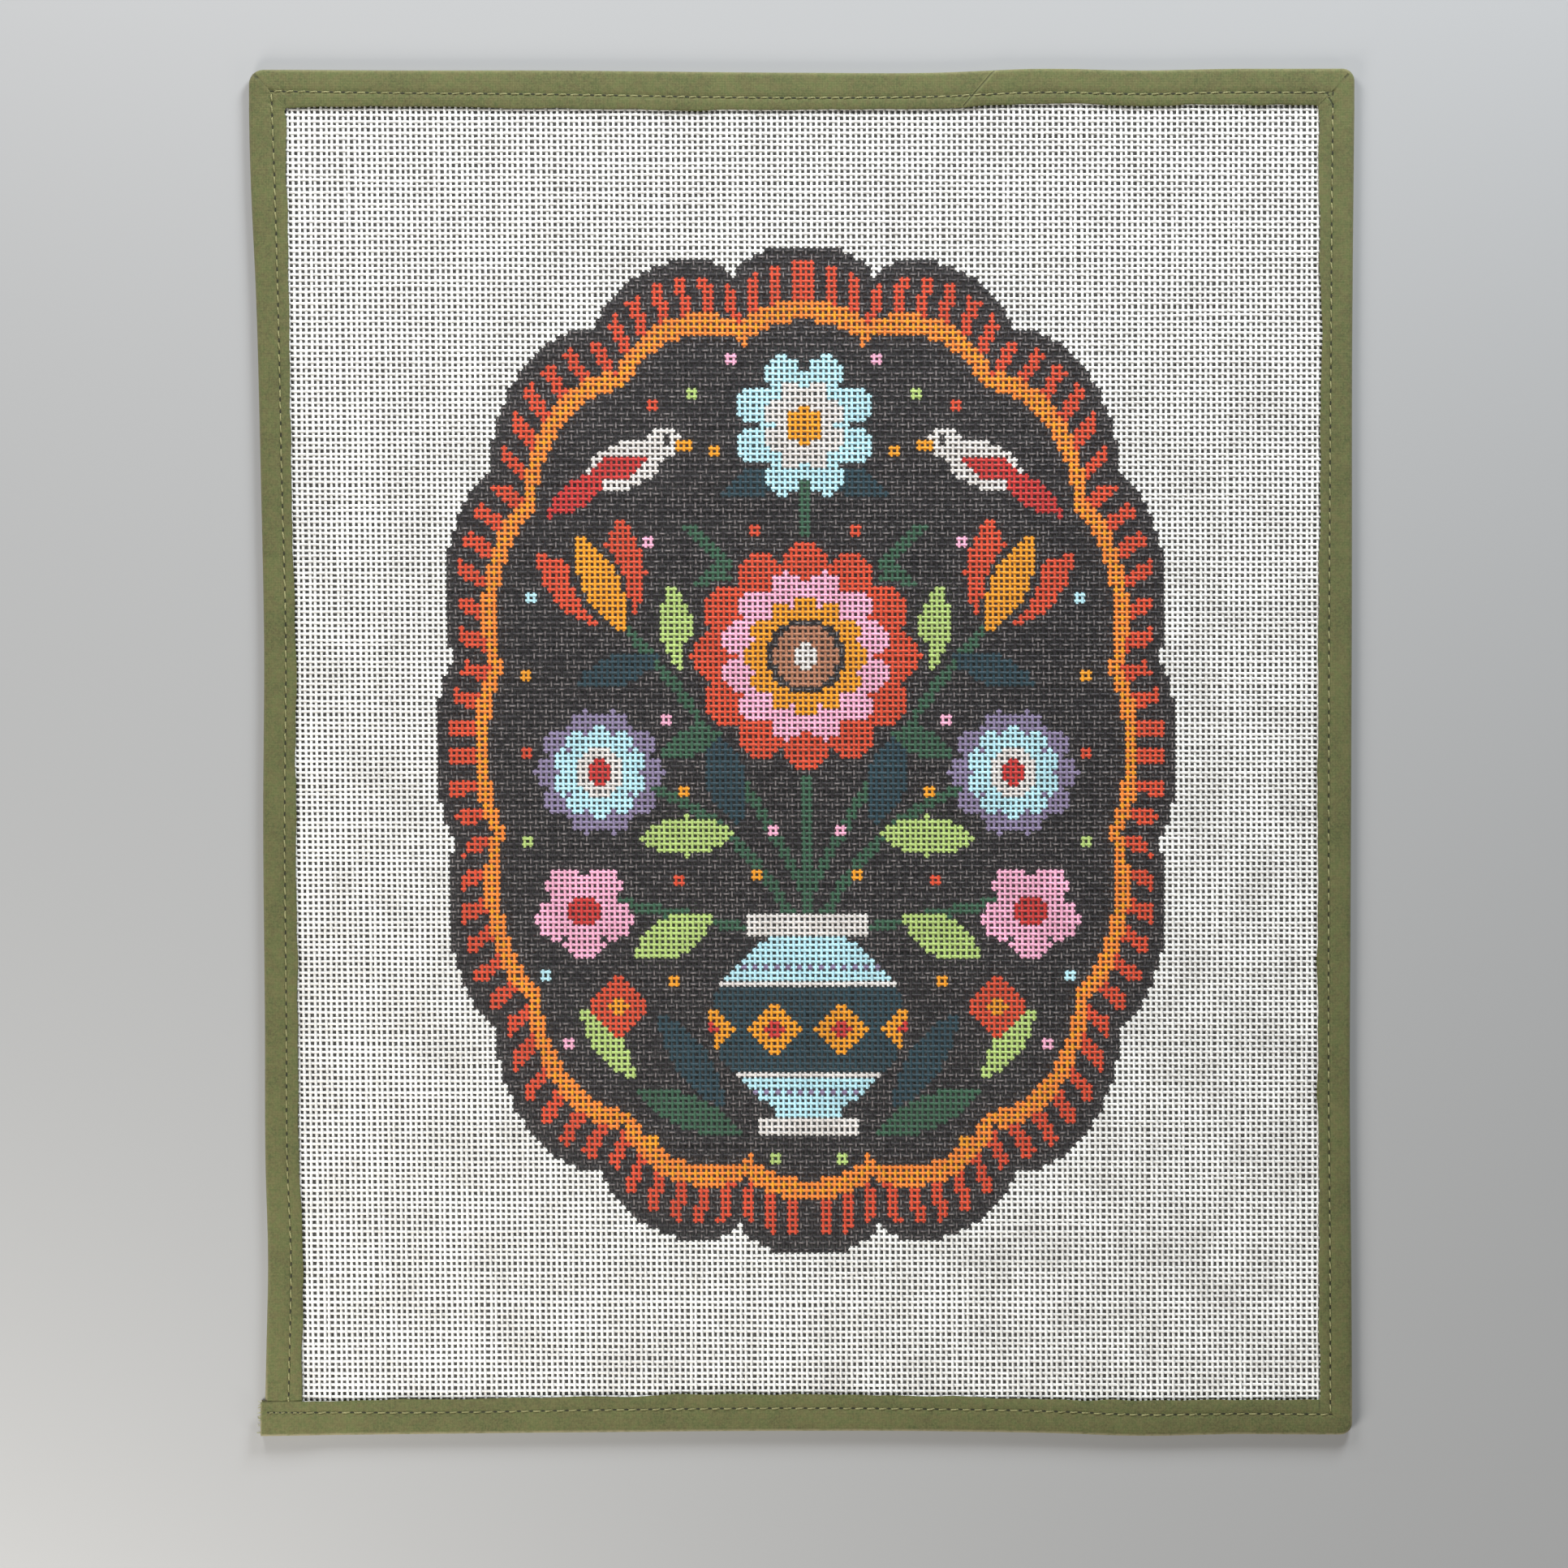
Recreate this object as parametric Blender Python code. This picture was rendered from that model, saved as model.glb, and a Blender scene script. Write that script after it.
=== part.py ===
"""Needlepoint canvas panel, bound round its edge with one length of folded tape.

The panel lies flat on its back: X runs across it, Y up the design, Z out of its face.
The origin is the middle of the rectangle it covers, on the surface it lies on.

Two pieces are made. The canvas is one flat sheet that reaches under the tape on every
side. The binding is one strip of tape folded over the raw edge: it starts low on the left
side, runs up, across the top, down the right and back along the bottom, turns three
mitred corners, and ends cut square over its own beginning.
"""
import math

import bpy
import numpy as np

MM = 0.001

# Driving sizes, in millimetres
PANEL_WIDTH = 382.8
PANEL_HEIGHT = 472.8
CANVAS_THICKNESS = 1.0
TAPE_WALL = 0.8
GAP = 0.3
STATION_STEP = 14.0

# The sheet's cut edge lies this far in from the tape's outer fold
CANVAS_INSET = 2.2

# The cut end of the tape passes the left fold by this much, and lies this much higher
END_OVERHANG = 1.5
END_LIFT = 0.6
END_LIFT_REACH = 26.0
END_STEP = 3.2

# Where the tape turns a corner, its fold stands up a little along the mitre: fully on the
# side that lies on top, and by a share of that on the other
MITRE_LIFT = 0.35
MITRE_UNDER_SHARE = 0.35
MITRE_REACH = 5.0
CORNER_STEPS = 14
CORNER_SPAN = 13.6
LIP_RADIUS = 1.0

# The line of stitching sinks into the tape
STITCH_SINK = 0.25
STITCH_TROUGH = 1.2

# The fold is a half circle of this many steps, and the slot ends short of it
FOLD_STEPS = 6
SLOT_END_SHARE = 0.75

# Worked out from the sizes above
SLOT = CANVAS_THICKNESS + 2 * GAP
THICKNESS = SLOT + 2 * TAPE_WALL
FOLD_RADIUS = THICKNESS / 2
HALF_WIDTH = PANEL_WIDTH / 2
HALF_HEIGHT = PANEL_HEIGHT / 2

# Each side of the binding. "along" runs from 0 to 1, down a side or from left to right.
# "inset" is how far the fold lies inside the panel's rectangle, "tape" is the width that
# shows, and "stitch" is the distance from the fold to the line of stitching.
COLUMNS = ("along", "inset", "tape", "stitch")
LEFT_SIDE = (
    (0.00, 0.1, 12.15, 7.85),
    (0.07, 0.7, 12.65, 8.45),
    (0.17, 2.8, 11.45, 7.75),
    (0.30, 4.4, 10.65, 7.45),
    (0.42, 5.5, 11.05, 7.75),
    (0.55, 5.2, 11.55, 7.65),
    (0.70, 5.8, 11.55, 7.65),
    (0.80, 6.0, 11.75, 7.75),
    (0.87, 6.9, 12.25, 8.15),
    (0.95, 6.2, 12.75, 8.25),
    (1.00, 6.0, 12.85, 8.25),
)
RIGHT_SIDE = (
    (0.00, 0.1, 12.85, 7.65),
    (0.10, 0.6, 11.85, 7.65),
    (0.20, 1.0, 10.85, 7.55),
    (0.38, 1.1, 11.65, 8.05),
    (0.60, 1.5, 11.55, 7.85),
    (0.75, 1.8, 11.25, 7.55),
    (0.88, 1.3, 11.25, 7.55),
    (1.00, 1.0, 11.35, 7.75),
)
TOP_SIDE = (
    (0.00, 0.3, 13.70, 7.60),
    (0.15, 0.6, 12.65, 8.15),
    (0.25, 0.6, 13.35, 8.45),
    (0.50, 1.4, 13.05, 8.95),
    (0.62, 1.4, 12.55, 8.55),
    (0.72, 0.0, 12.15, 8.45),
    (0.80, 0.6, 12.55, 8.45),
    (0.90, 0.0, 12.75, 8.45),
    (1.00, 0.3, 12.90, 8.65),
)
BOTTOM_SIDE = (
    (0.00, 0.0, 12.00, 8.30),
    (0.06, 0.3, 12.00, 8.10),
    (0.15, 0.7, 12.05, 7.65),
    (0.30, 1.3, 12.55, 7.85),
    (0.47, 1.8, 12.85, 8.05),
    (0.62, 1.7, 12.15, 7.85),
    (0.73, 1.0, 11.90, 7.75),
    (0.80, 0.1, 12.35, 7.55),
    (0.90, 0.7, 12.20, 7.25),
    (1.00, 0.1, 12.30, 7.35),
)

# How far each corner of the fold is rounded
CORNER_RADIUS = {"top_left": 5.0, "top_right": 4.2, "bottom_right": 4.2}

MATERIALS = {
    "canvas": {"colour": (0.80, 0.78, 0.72), "roughness": 0.85},
    "binding": {"colour": (0.20, 0.21, 0.085), "roughness": 0.9},
}


def clear_scene():
    """Take away whatever the file starts with."""
    for obj in list(bpy.data.objects):
        bpy.data.objects.remove(obj, do_unlink=True)


def column(rows, name, along):
    """Smooth curve through one column: a cubic between rows, its slope at each row that
    of the line from the row before to the row after."""
    table = np.array(rows)
    knots = table[:, 0]
    values = table[:, COLUMNS.index(name)]
    slopes = np.gradient(values, knots)
    row = np.clip(np.searchsorted(knots, along) - 1, 0, len(knots) - 2)
    span = knots[row + 1] - knots[row]
    t = (along - knots[row]) / span
    return ((2 * t**3 - 3 * t**2 + 1) * values[row] + (t**3 - 2 * t**2 + t) * span * slopes[row]
            + (3 * t**2 - 2 * t**3) * values[row + 1] + (t**3 - t**2) * span * slopes[row + 1])


def side_point(side, place):
    """Fold, lip and stitch distance of one side at a place along it, in millimetres."""
    rows, inward = {
        "left": (LEFT_SIDE, (1.0, 0.0)),
        "right": (RIGHT_SIDE, (-1.0, 0.0)),
        "top": (TOP_SIDE, (0.0, -1.0)),
        "bottom": (BOTTOM_SIDE, (0.0, 1.0)),
    }[side]
    upright = side in ("left", "right")
    along = (HALF_HEIGHT - place) / PANEL_HEIGHT if upright else (place + HALF_WIDTH) / PANEL_WIDTH
    along = min(max(along, 0.0), 1.0)
    inset = float(column(rows, "inset", along))
    tape = float(column(rows, "tape", along))
    stitch = float(column(rows, "stitch", along))
    inward = np.array(inward)
    edge = np.array((0.0, place)) if upright else np.array((place, 0.0))
    half = HALF_WIDTH if upright else HALF_HEIGHT
    fold = edge - inward * (half - inset)
    return fold, fold + inward * tape, stitch


def straight_run(side, start, end, step=STATION_STEP):
    """Stations along one side, evenly spaced between two places."""
    count = max(2, round(abs(end - start) / step) + 1)
    return [side_point(side, place) + (0.0,) for place in np.linspace(start, end, count)]


def corner_of(side_a, side_b, place_a, place_b):
    """The sharp corners where two sides' folds meet and where their lips meet, with the
    stitch distance of each side."""
    fold_a, lip_a, stitch_a = side_point(side_a, place_a)
    fold_b, lip_b, stitch_b = side_point(side_b, place_b)
    upright_first = side_a in ("left", "right")
    fold = np.array((fold_a[0], fold_b[1]) if upright_first else (fold_b[0], fold_a[1]))
    lip = np.array((lip_a[0], lip_b[1]) if upright_first else (lip_b[0], lip_a[1]))
    return fold, lip, (stitch_a, stitch_b)


def corner_run(fold, lip, stitches, radius, before, after):
    """Stations that fan round one corner.

    The fold goes straight, round an arc of the given radius, and straight again, by equal
    shares of its length. The lip goes round a small arc in the same number of steps. The
    stitching keeps its distance from one side, then from the other, and turns sharply.
    before and after are the directions of travel into and out of the corner.
    """
    before = np.array(before)
    after = np.array(after)
    straight_in = abs(np.dot(fold - lip, before)) + LIP_RADIUS - radius
    straight_out = abs(np.dot(fold - lip, after)) + LIP_RADIUS - radius
    arc = radius * math.pi / 2
    length = straight_in + arc + straight_out
    stations = []
    for step in range(1, CORNER_STEPS):
        share = step / CORNER_STEPS
        turn = share * math.pi / 2
        lip_centre = lip - before * LIP_RADIUS + after * LIP_RADIUS
        lip_point = lip_centre + LIP_RADIUS * (before * math.sin(turn) - after * math.cos(turn))
        run = share * length
        if run < straight_in:
            fold_point = fold - before * (straight_in + radius - run)
        elif run > straight_in + arc:
            fold_point = fold + after * (run - arc - straight_in + radius)
        else:
            bend = (run - straight_in) / radius
            centre = fold - before * radius + after * radius
            fold_point = centre + radius * (before * math.sin(bend) - after * math.cos(bend))
        from_mitre = run - straight_in - arc / 2
        folded_over = 1.0 if from_mitre <= 0 else MITRE_UNDER_SHARE
        lift = MITRE_LIFT * folded_over * math.exp(-abs(from_mitre) / MITRE_REACH)
        inward = (lip_point - fold_point) / np.linalg.norm(lip_point - fold_point)
        from_first = (stitches[0] - np.dot(fold_point - fold, after)) / np.dot(inward, after)
        from_second = (stitches[1] - np.dot(fold - fold_point, before)) / np.dot(inward, -before)
        stations.append((fold_point, lip_point, max(from_first, from_second), lift))
    return stations


def tape_stations():
    """Every station of the tape, from its start low on the left to its cut end."""
    up, down, right, left = (0.0, 1.0), (0.0, -1.0), (1.0, 0.0), (-1.0, 0.0)
    near_x = HALF_WIDTH - CORNER_SPAN
    near_y = HALF_HEIGHT - CORNER_SPAN
    top_left = corner_of("left", "top", near_y, -near_x)
    top_right = corner_of("top", "right", near_x, near_y)
    bottom_right = corner_of("right", "bottom", -near_y, near_x)
    lip_tl, lip_tr, lip_br = top_left[1], top_right[1], bottom_right[1]
    low_lip = side_point("bottom", CORNER_SPAN - HALF_WIDTH)[1][1]
    low_fold = side_point("left", low_lip)[0][0]
    stations = straight_run("left", low_lip + GAP, lip_tl[1] - LIP_RADIUS)
    stations += corner_run(*top_left, CORNER_RADIUS["top_left"], up, right)
    stations += straight_run("top", lip_tl[0] + LIP_RADIUS, lip_tr[0] - LIP_RADIUS)
    stations += corner_run(*top_right, CORNER_RADIUS["top_right"], right, down)
    stations += straight_run("right", lip_tr[1] - LIP_RADIUS, lip_br[1] + LIP_RADIUS)
    stations += corner_run(*bottom_right, CORNER_RADIUS["bottom_right"], down, left)
    last = straight_run("bottom", lip_br[0] - LIP_RADIUS, low_fold + END_LIFT_REACH)
    last += straight_run("bottom", low_fold + END_LIFT_REACH - END_STEP,
                         low_fold - END_OVERHANG, END_STEP)
    for fold, lip, stitch, _ in last:
        away = (fold[0] - low_fold + END_OVERHANG) / END_LIFT_REACH
        lift = END_LIFT * (0.5 + 0.5 * math.cos(math.pi * min(max(2 * away - 1, 0.0), 1.0)))
        stations.append((fold, lip, stitch, lift))
    return stations


def tape_section(reach, stitch, lift):
    """One closed section of the folded tape, as (distance in from the fold, height).

    A half circle makes the fold. The upper wall sinks along the stitching and ends in a
    rounded lip, the lower wall is flat, and the slot between them takes the canvas.
    """
    angles = np.radians(np.linspace(-90.0, 90.0, FOLD_STEPS + 1))
    fold = np.stack((FOLD_RADIUS * (1 - np.cos(angles)), FOLD_RADIUS * (1 + np.sin(angles))), 1)
    top = THICKNESS
    slot_low = TAPE_WALL
    slot_high = TAPE_WALL + SLOT
    slot_end = FOLD_RADIUS * SLOT_END_SHARE
    lip_round = TAPE_WALL / 2
    upper = [
        (stitch - STITCH_TROUGH, top),
        (stitch, top - STITCH_SINK),
        (stitch + STITCH_TROUGH, top),
        (reach - lip_round, top),
        (reach, top - lip_round),
        (reach, slot_high),
    ]
    slot = [
        (FOLD_RADIUS, slot_high),
        (slot_end, slot_high - GAP),
        (slot_end, slot_low + GAP),
        (FOLD_RADIUS, slot_low),
        (reach, slot_low),
        (reach, 0.0),
    ]
    points = np.concatenate((fold, np.array(upper), np.array(slot)))
    # Only what lies above the slot rises with the lift
    share = np.clip((points[:, 1] - THICKNESS / 2) / (slot_high - THICKNESS / 2), 0.0, 1.0)
    points[:, 1] += lift * share
    return points


def new_material(name):
    """Principled material in the piece's own colour."""
    look = MATERIALS[name]
    material = bpy.data.materials.new(name)
    material.use_nodes = True
    shader = material.node_tree.nodes["Principled BSDF"]
    shader.inputs["Base Color"].default_value = (*look["colour"], 1.0)
    shader.inputs["Roughness"].default_value = look["roughness"]
    material.diffuse_color = (*look["colour"], 1.0)
    return material


def build_binding(stations, collection):
    """The tape, lofted through its sections, with both cut ends closed."""
    rings = []
    for fold, lip, stitch, lift in stations:
        reach = np.linalg.norm(lip - fold)
        inward = (lip - fold) / reach
        section = tape_section(reach, stitch, lift)
        flat = fold[None, :] + section[:, :1] * inward[None, :]
        rings.append(np.concatenate((flat, section[:, 1:]), axis=1))
    per_ring = len(rings[0])
    vertices = np.concatenate(rings) * MM
    faces = []
    for ring in range(len(rings) - 1):
        for point in range(per_ring):
            following = (point + 1) % per_ring
            here = ring * per_ring
            there = here + per_ring
            faces.append((here + point, here + following, there + following, there + point))
    last = (len(rings) - 1) * per_ring
    faces.append(tuple(reversed(range(per_ring))))
    faces.append(tuple(last + point for point in range(per_ring)))
    mesh = bpy.data.meshes.new("binding")
    mesh.from_pydata(vertices.tolist(), [], faces)
    mesh.validate()
    mesh.materials.append(new_material("binding"))
    binding = bpy.data.objects.new("binding", mesh)
    collection.objects.link(binding)
    return binding


def canvas_outline(stations):
    """The sheet's cut edge, a little inside the tape's fold all the way round."""
    outline = []
    for fold, lip, _, _ in stations:
        inward = (lip - fold) / np.linalg.norm(lip - fold)
        outline.append(fold + inward * CANVAS_INSET)
    left_edge = outline[0][0]
    while outline[-1][0] < left_edge + GAP:
        outline.pop()
    outline.append(np.array((left_edge, outline[-1][1])))
    return outline


def centred(stations):
    """The same stations with the middle of the rectangle they cover at the origin."""
    folds = np.array([station[0] for station in stations])
    middle = (folds.min(axis=0) + folds.max(axis=0)) / 2
    return [(fold - middle, lip - middle, stitch, lift) for fold, lip, stitch, lift in stations]


def build_canvas(outline, collection):
    """The sheet: its outline filled and given its thickness, level in the tape's slot."""
    curve = bpy.data.curves.new("canvas", "CURVE")
    curve.dimensions = "2D"
    curve.fill_mode = "BOTH"
    curve.extrude = CANVAS_THICKNESS / 2 * MM
    spline = curve.splines.new("POLY")
    spline.points.add(len(outline) - 1)
    for point, place in zip(spline.points, outline):
        point.co = (place[0] * MM, place[1] * MM, 0.0, 1.0)
    spline.use_cyclic_u = True
    curve.materials.append(new_material("canvas"))
    canvas = bpy.data.objects.new("canvas", curve)
    canvas.location.z = THICKNESS / 2 * MM
    collection.objects.link(canvas)
    return canvas


def main():
    """Build the panel in a collection of its own."""
    clear_scene()
    panel = bpy.data.collections.new("needlepoint_canvas_panel")
    bpy.context.scene.collection.children.link(panel)
    stations = centred(tape_stations())
    build_binding(stations, panel)
    build_canvas(canvas_outline(stations), panel)


main()
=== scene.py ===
# %% [markdown]
# # Needlepoint canvas panel
# A painted needlepoint canvas, bound round its edge with olive tape, lying flat on its back.
# The frame gives two plain solids, the canvas sheet and the folded tape. This script dresses
# them: the canvas becomes real woven threads, the painting goes on thread by thread, and the
# tape gets its cloth, mitred corners, join and stitching.
# X runs across the panel, Y up the design and Z out of its face. Sizes are in millimetres
# until a mesh is made.

import math

import bpy
import numpy as np
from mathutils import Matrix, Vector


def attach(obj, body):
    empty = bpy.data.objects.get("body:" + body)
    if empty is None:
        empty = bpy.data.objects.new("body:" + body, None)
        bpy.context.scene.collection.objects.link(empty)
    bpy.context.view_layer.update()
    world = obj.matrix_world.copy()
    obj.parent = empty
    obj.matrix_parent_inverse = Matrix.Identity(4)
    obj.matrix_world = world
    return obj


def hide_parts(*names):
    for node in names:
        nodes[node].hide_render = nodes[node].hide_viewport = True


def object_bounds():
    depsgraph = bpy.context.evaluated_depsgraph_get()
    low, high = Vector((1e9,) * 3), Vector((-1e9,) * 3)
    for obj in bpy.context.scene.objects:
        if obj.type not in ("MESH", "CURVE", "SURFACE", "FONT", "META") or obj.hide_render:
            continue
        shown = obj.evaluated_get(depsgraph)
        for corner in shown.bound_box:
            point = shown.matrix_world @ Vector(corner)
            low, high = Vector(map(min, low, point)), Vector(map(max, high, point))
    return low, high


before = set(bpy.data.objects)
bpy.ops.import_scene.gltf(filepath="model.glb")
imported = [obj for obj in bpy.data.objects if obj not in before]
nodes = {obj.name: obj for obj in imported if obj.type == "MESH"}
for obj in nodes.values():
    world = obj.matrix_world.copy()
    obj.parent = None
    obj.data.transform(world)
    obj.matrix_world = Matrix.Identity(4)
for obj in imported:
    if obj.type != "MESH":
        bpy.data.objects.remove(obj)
cad_low, cad_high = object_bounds()

MM = 0.001

# %% [markdown]
# ## Small tools for meshes
# Every surface is worked out as numpy arrays and handed to Blender in one go. That keeps a
# million triangles quick to make, and each shape stays one formula that can be read.

# %%
def node_points(node):
    """Every distinct vertex of a node from the frame, in millimetres."""
    flat = np.empty(len(node.data.vertices) * 3)
    node.data.vertices.foreach_get("co", flat)
    return np.unique(np.round(flat.reshape(-1, 3) / MM, 3), axis=0)


def new_mesh(name, points, *polygons):
    """Mesh from points in millimetres and arrays of faces, one array for each number of
    corners."""
    mesh = bpy.data.meshes.new(name)
    mesh.vertices.add(len(points))
    mesh.vertices.foreach_set("co", (points * MM).astype(np.float32).ravel())
    corners = np.concatenate([faces.ravel() for faces in polygons]).astype(np.int32)
    sizes = np.concatenate([np.full(len(faces), faces.shape[1]) for faces in polygons])
    mesh.loops.add(len(corners))
    mesh.loops.foreach_set("vertex_index", corners)
    mesh.polygons.add(len(sizes))
    mesh.polygons.foreach_set("loop_start", (np.cumsum(sizes) - sizes).astype(np.int32))
    mesh.update(calc_edges=True)
    mesh.shade_smooth()
    return mesh


def tube_faces(tubes, rings, sides):
    """Quads along many closed tubes, and the faces that close their two ends.

    Vertices are counted tube by tube, ring by ring, side by side.
    """
    tube, ring, side = np.meshgrid(
        np.arange(tubes), np.arange(rings - 1), np.arange(sides), indexing="ij")
    here = (tube * rings + ring) * sides
    following = (side + 1) % sides
    quads = np.stack((here + side, here + following, here + sides + following,
                      here + sides + side), -1).reshape(-1, 4)
    first = np.arange(tubes)[:, None] * rings * sides
    around = np.arange(sides)[None, :]
    ends = np.concatenate((first + around[:, ::-1], first + (rings - 1) * sides + around))
    return quads, ends


def tube_corners(tubes, rings, sides):
    """Ring number and share of the way round, at each corner of the quads of tube_faces."""
    ring = np.arange(rings - 1)[None, :, None, None] + np.array((0, 0, 1, 1))
    side = np.arange(sides)[None, None, :, None] + np.array((0, 1, 1, 0))
    shape = (tubes, rings - 1, sides, 4)
    return np.broadcast_to(ring, shape).ravel(), np.broadcast_to(side, shape).ravel() / sides


def add_values(mesh, name, domain, values):
    """Attribute of one number for each vertex or face."""
    mesh.attributes.new(name, "FLOAT", domain).data.foreach_set(
        "value", np.asarray(values, dtype=np.float32).ravel())


def add_map(mesh, name, u, v):
    """UV map from one value of u and v for each face corner."""
    layer = mesh.uv_layers.new(name=name)
    layer.uv.foreach_set("vector", np.stack((u, v), -1).astype(np.float32).ravel())


def corner_points(mesh):
    """The place of each face corner, in millimetres."""
    places = np.empty(len(mesh.vertices) * 3, np.float32)
    mesh.vertices.foreach_get("co", places)
    corners = np.empty(len(mesh.loops), np.int32)
    mesh.loops.foreach_get("vertex_index", corners)
    return places.reshape(-1, 3)[corners] / MM


def sharpen(mesh, marked):
    """Make each edge sharp whose two vertices are both marked."""
    ends = np.empty(len(mesh.edges) * 2, np.int32)
    mesh.edges.foreach_get("vertices", ends)
    sharp = marked[ends.reshape(-1, 2)].all(1)
    mesh.attributes.new("sharp_edge", "BOOLEAN", "EDGE").data.foreach_set("value", sharp)


def add_piece(name, mesh, material, replaced=None):
    """Object for a finished mesh, riding on the panel."""
    mesh.materials.append(material)
    piece = bpy.data.objects.new(name, mesh)
    bpy.context.scene.collection.objects.link(piece)
    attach(piece, "root")
    if replaced:
        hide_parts(replaced)
    print(f"{name}: {len(mesh.vertices)} vertices, {len(mesh.polygons)} faces")
    return piece


def wander(rng, shape, reach):
    """Random values that change slowly along the first axis, with a spread of one.

    Noise is smoothed by taking away its waves that are shorter than the reach.
    """
    noise = np.fft.rfft(rng.normal(size=shape), axis=0)
    keep = np.exp(-((np.fft.rfftfreq(shape[0]) * reach) ** 2))
    smooth = np.fft.irfft(noise * keep.reshape(-1, *[1] * (len(shape) - 1)), n=shape[0], axis=0)
    return smooth / smooth.std()


# %% [markdown]
# ## Small tools for materials
# Materials are node trees. Four patterns are shared, so each is a node group with inputs for
# its sizes: the pots of paint, soft mottling, plain-woven cloth and the distance from a line.

# %%
def linear(red, green, blue):
    """Colour for a shader from the 0 to 255 values seen on a screen."""
    seen = np.array((red, green, blue)) / 255
    light = np.where(seen <= 0.04045, seen / 12.92, ((seen + 0.055) / 1.055) ** 2.4)
    return (*light.tolist(), 1.0)


class Tree:
    """A node tree under construction, with short ways to add nodes to it."""

    def __init__(self, tree):
        self.tree = tree

    def add(self, kind, **settings):
        """New node with its settings."""
        made = self.tree.nodes.new(kind)
        for key, value in settings.items():
            setattr(made, key, value)
        return made

    def feed(self, socket, value):
        """Link a socket to another, or set its number or colour."""
        if isinstance(value, bpy.types.NodeSocket):
            self.tree.links.new(value, socket)
        else:
            socket.default_value = value

    def sum(self, operation, *values, clamp=False):
        """Result of one maths operation."""
        made = self.add("ShaderNodeMath", operation=operation, use_clamp=clamp)
        for socket, value in zip(made.inputs, values):
            self.feed(socket, value)
        return made.outputs[0]

    def vector(self, operation, *values):
        """Result of one vector operation."""
        made = self.add("ShaderNodeVectorMath", operation=operation)
        for socket, value in zip(made.inputs, values):
            self.feed(socket, value)
        return made.outputs["Value" if operation in ("LENGTH", "DOT_PRODUCT") else "Vector"]

    def ramp(self, value, low, high):
        """0 below low and 1 above high, with soft ends; low may be the higher number."""
        made = self.add("ShaderNodeMapRange", interpolation_type="SMOOTHSTEP")
        self.feed(made.inputs["Value"], value)
        self.feed(made.inputs["From Min"], low)
        self.feed(made.inputs["From Max"], high)
        return made.outputs["Result"]

    def mix(self, share, first, second, blend="MIX"):
        """Mixed colour."""
        made = self.add("ShaderNodeMix", data_type="RGBA", blend_type=blend)
        self.feed(made.inputs[0], share)
        self.feed(made.inputs[6], first)
        self.feed(made.inputs[7], second)
        return made.outputs[2]

    def noise(self, place, scale, detail=2.0):
        """Value of a noise texture, about a half."""
        made = self.add("ShaderNodeTexNoise")
        self.feed(made.inputs["Vector"], place)
        self.feed(made.inputs["Scale"], scale)
        self.feed(made.inputs["Detail"], detail)
        return made.outputs["Fac"]

    def attribute(self, name):
        """Number of a mesh attribute."""
        return self.add("ShaderNodeAttribute", attribute_name=name).outputs["Fac"]

    def tint(self, colour, mask, strength, seen):
        """Colour moved towards another, given as seen on a screen, by mask times strength."""
        return self.mix(self.sum("MULTIPLY", mask, strength), colour, linear(*seen))

    def split(self, vector):
        """The three parts of a vector."""
        made = self.add("ShaderNodeSeparateXYZ")
        self.feed(made.inputs[0], vector)
        return made.outputs

    def bump(self, height, distance, strength=1.0, **settings):
        """Bump node for a height."""
        made = self.add("ShaderNodeBump", **settings)
        made.inputs["Distance"].default_value = distance
        made.inputs["Strength"].default_value = strength
        self.feed(made.inputs["Height"], height)
        return made

    def group(self, tree, **values):
        """A shared pattern with its inputs, given as the node that holds it."""
        made = self.add("ShaderNodeGroup", node_tree=tree)
        for name, value in values.items():
            self.feed(made.inputs[name.replace("_", " ")], value)
        return made


def new_group(name, inputs, outputs):
    """Empty node group, its construction tree and its sockets within."""
    group = bpy.data.node_groups.new(name, "ShaderNodeTree")
    kinds = {"float": "NodeSocketFloat", "vector": "NodeSocketVector", "colour": "NodeSocketColor"}
    for socket, kind in inputs:
        group.interface.new_socket(socket, in_out="INPUT", socket_type=kinds[kind])
    for socket, kind in outputs:
        group.interface.new_socket(socket, in_out="OUTPUT", socket_type=kinds[kind])
    build = Tree(group)
    return group, build, build.add("NodeGroupInput").outputs, build.add("NodeGroupOutput").inputs


def new_material(name):
    """Material with its construction tree, its main shader and object coordinates."""
    material = bpy.data.materials.new(name)
    material.use_nodes = True
    build = Tree(material.node_tree)
    shader = material.node_tree.nodes["Principled BSDF"]
    return material, build, shader, build.add("ShaderNodeTexCoord").outputs["Object"]


# %% [markdown]
# ## The tape's lines
# The frame's tape already runs as unevenly as the real one. Its fold, its inner lip and its
# line of stitching are read back from the node's own vertices, one side at a time, and drawn
# as smooth curves between the stations of the CAD part. So the dressed tape can't stray.

# %%
TAPE_TOP = 3.2
TAPE_WALL = 0.8
FOLD_RADIUS = TAPE_TOP / 2
STITCH_SINK = 0.25
PITCH = 4.1

# Each side: the axis across it, its direction on that axis and the way the tape travels
SIDES = {
    "left": (0, -1, (0.0, 1.0)),
    "top": (1, 1, (1.0, 0.0)),
    "right": (0, 1, (0.0, -1.0)),
    "bottom": (1, -1, (-1.0, 0.0)),
}
HALF_SIZE = (float(cad_high.x) / MM, float(cad_high.y) / MM)
CORNER_REACH = 14.2

# How far in from a side its vertices can lie, and from the fold: the fold's own at most, and
# the stitching's and the lip's at least
BAND = 24.0
FOLD_FARTHEST = 9.0
STITCH_NEAREST = 5.0
LIP_NEAREST = 9.6

# The tape's start: on the left of this X, and this far or more above the panel's lowest point
START_RIGHT_END = -150.0
START_LOWEST = 12.0


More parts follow.
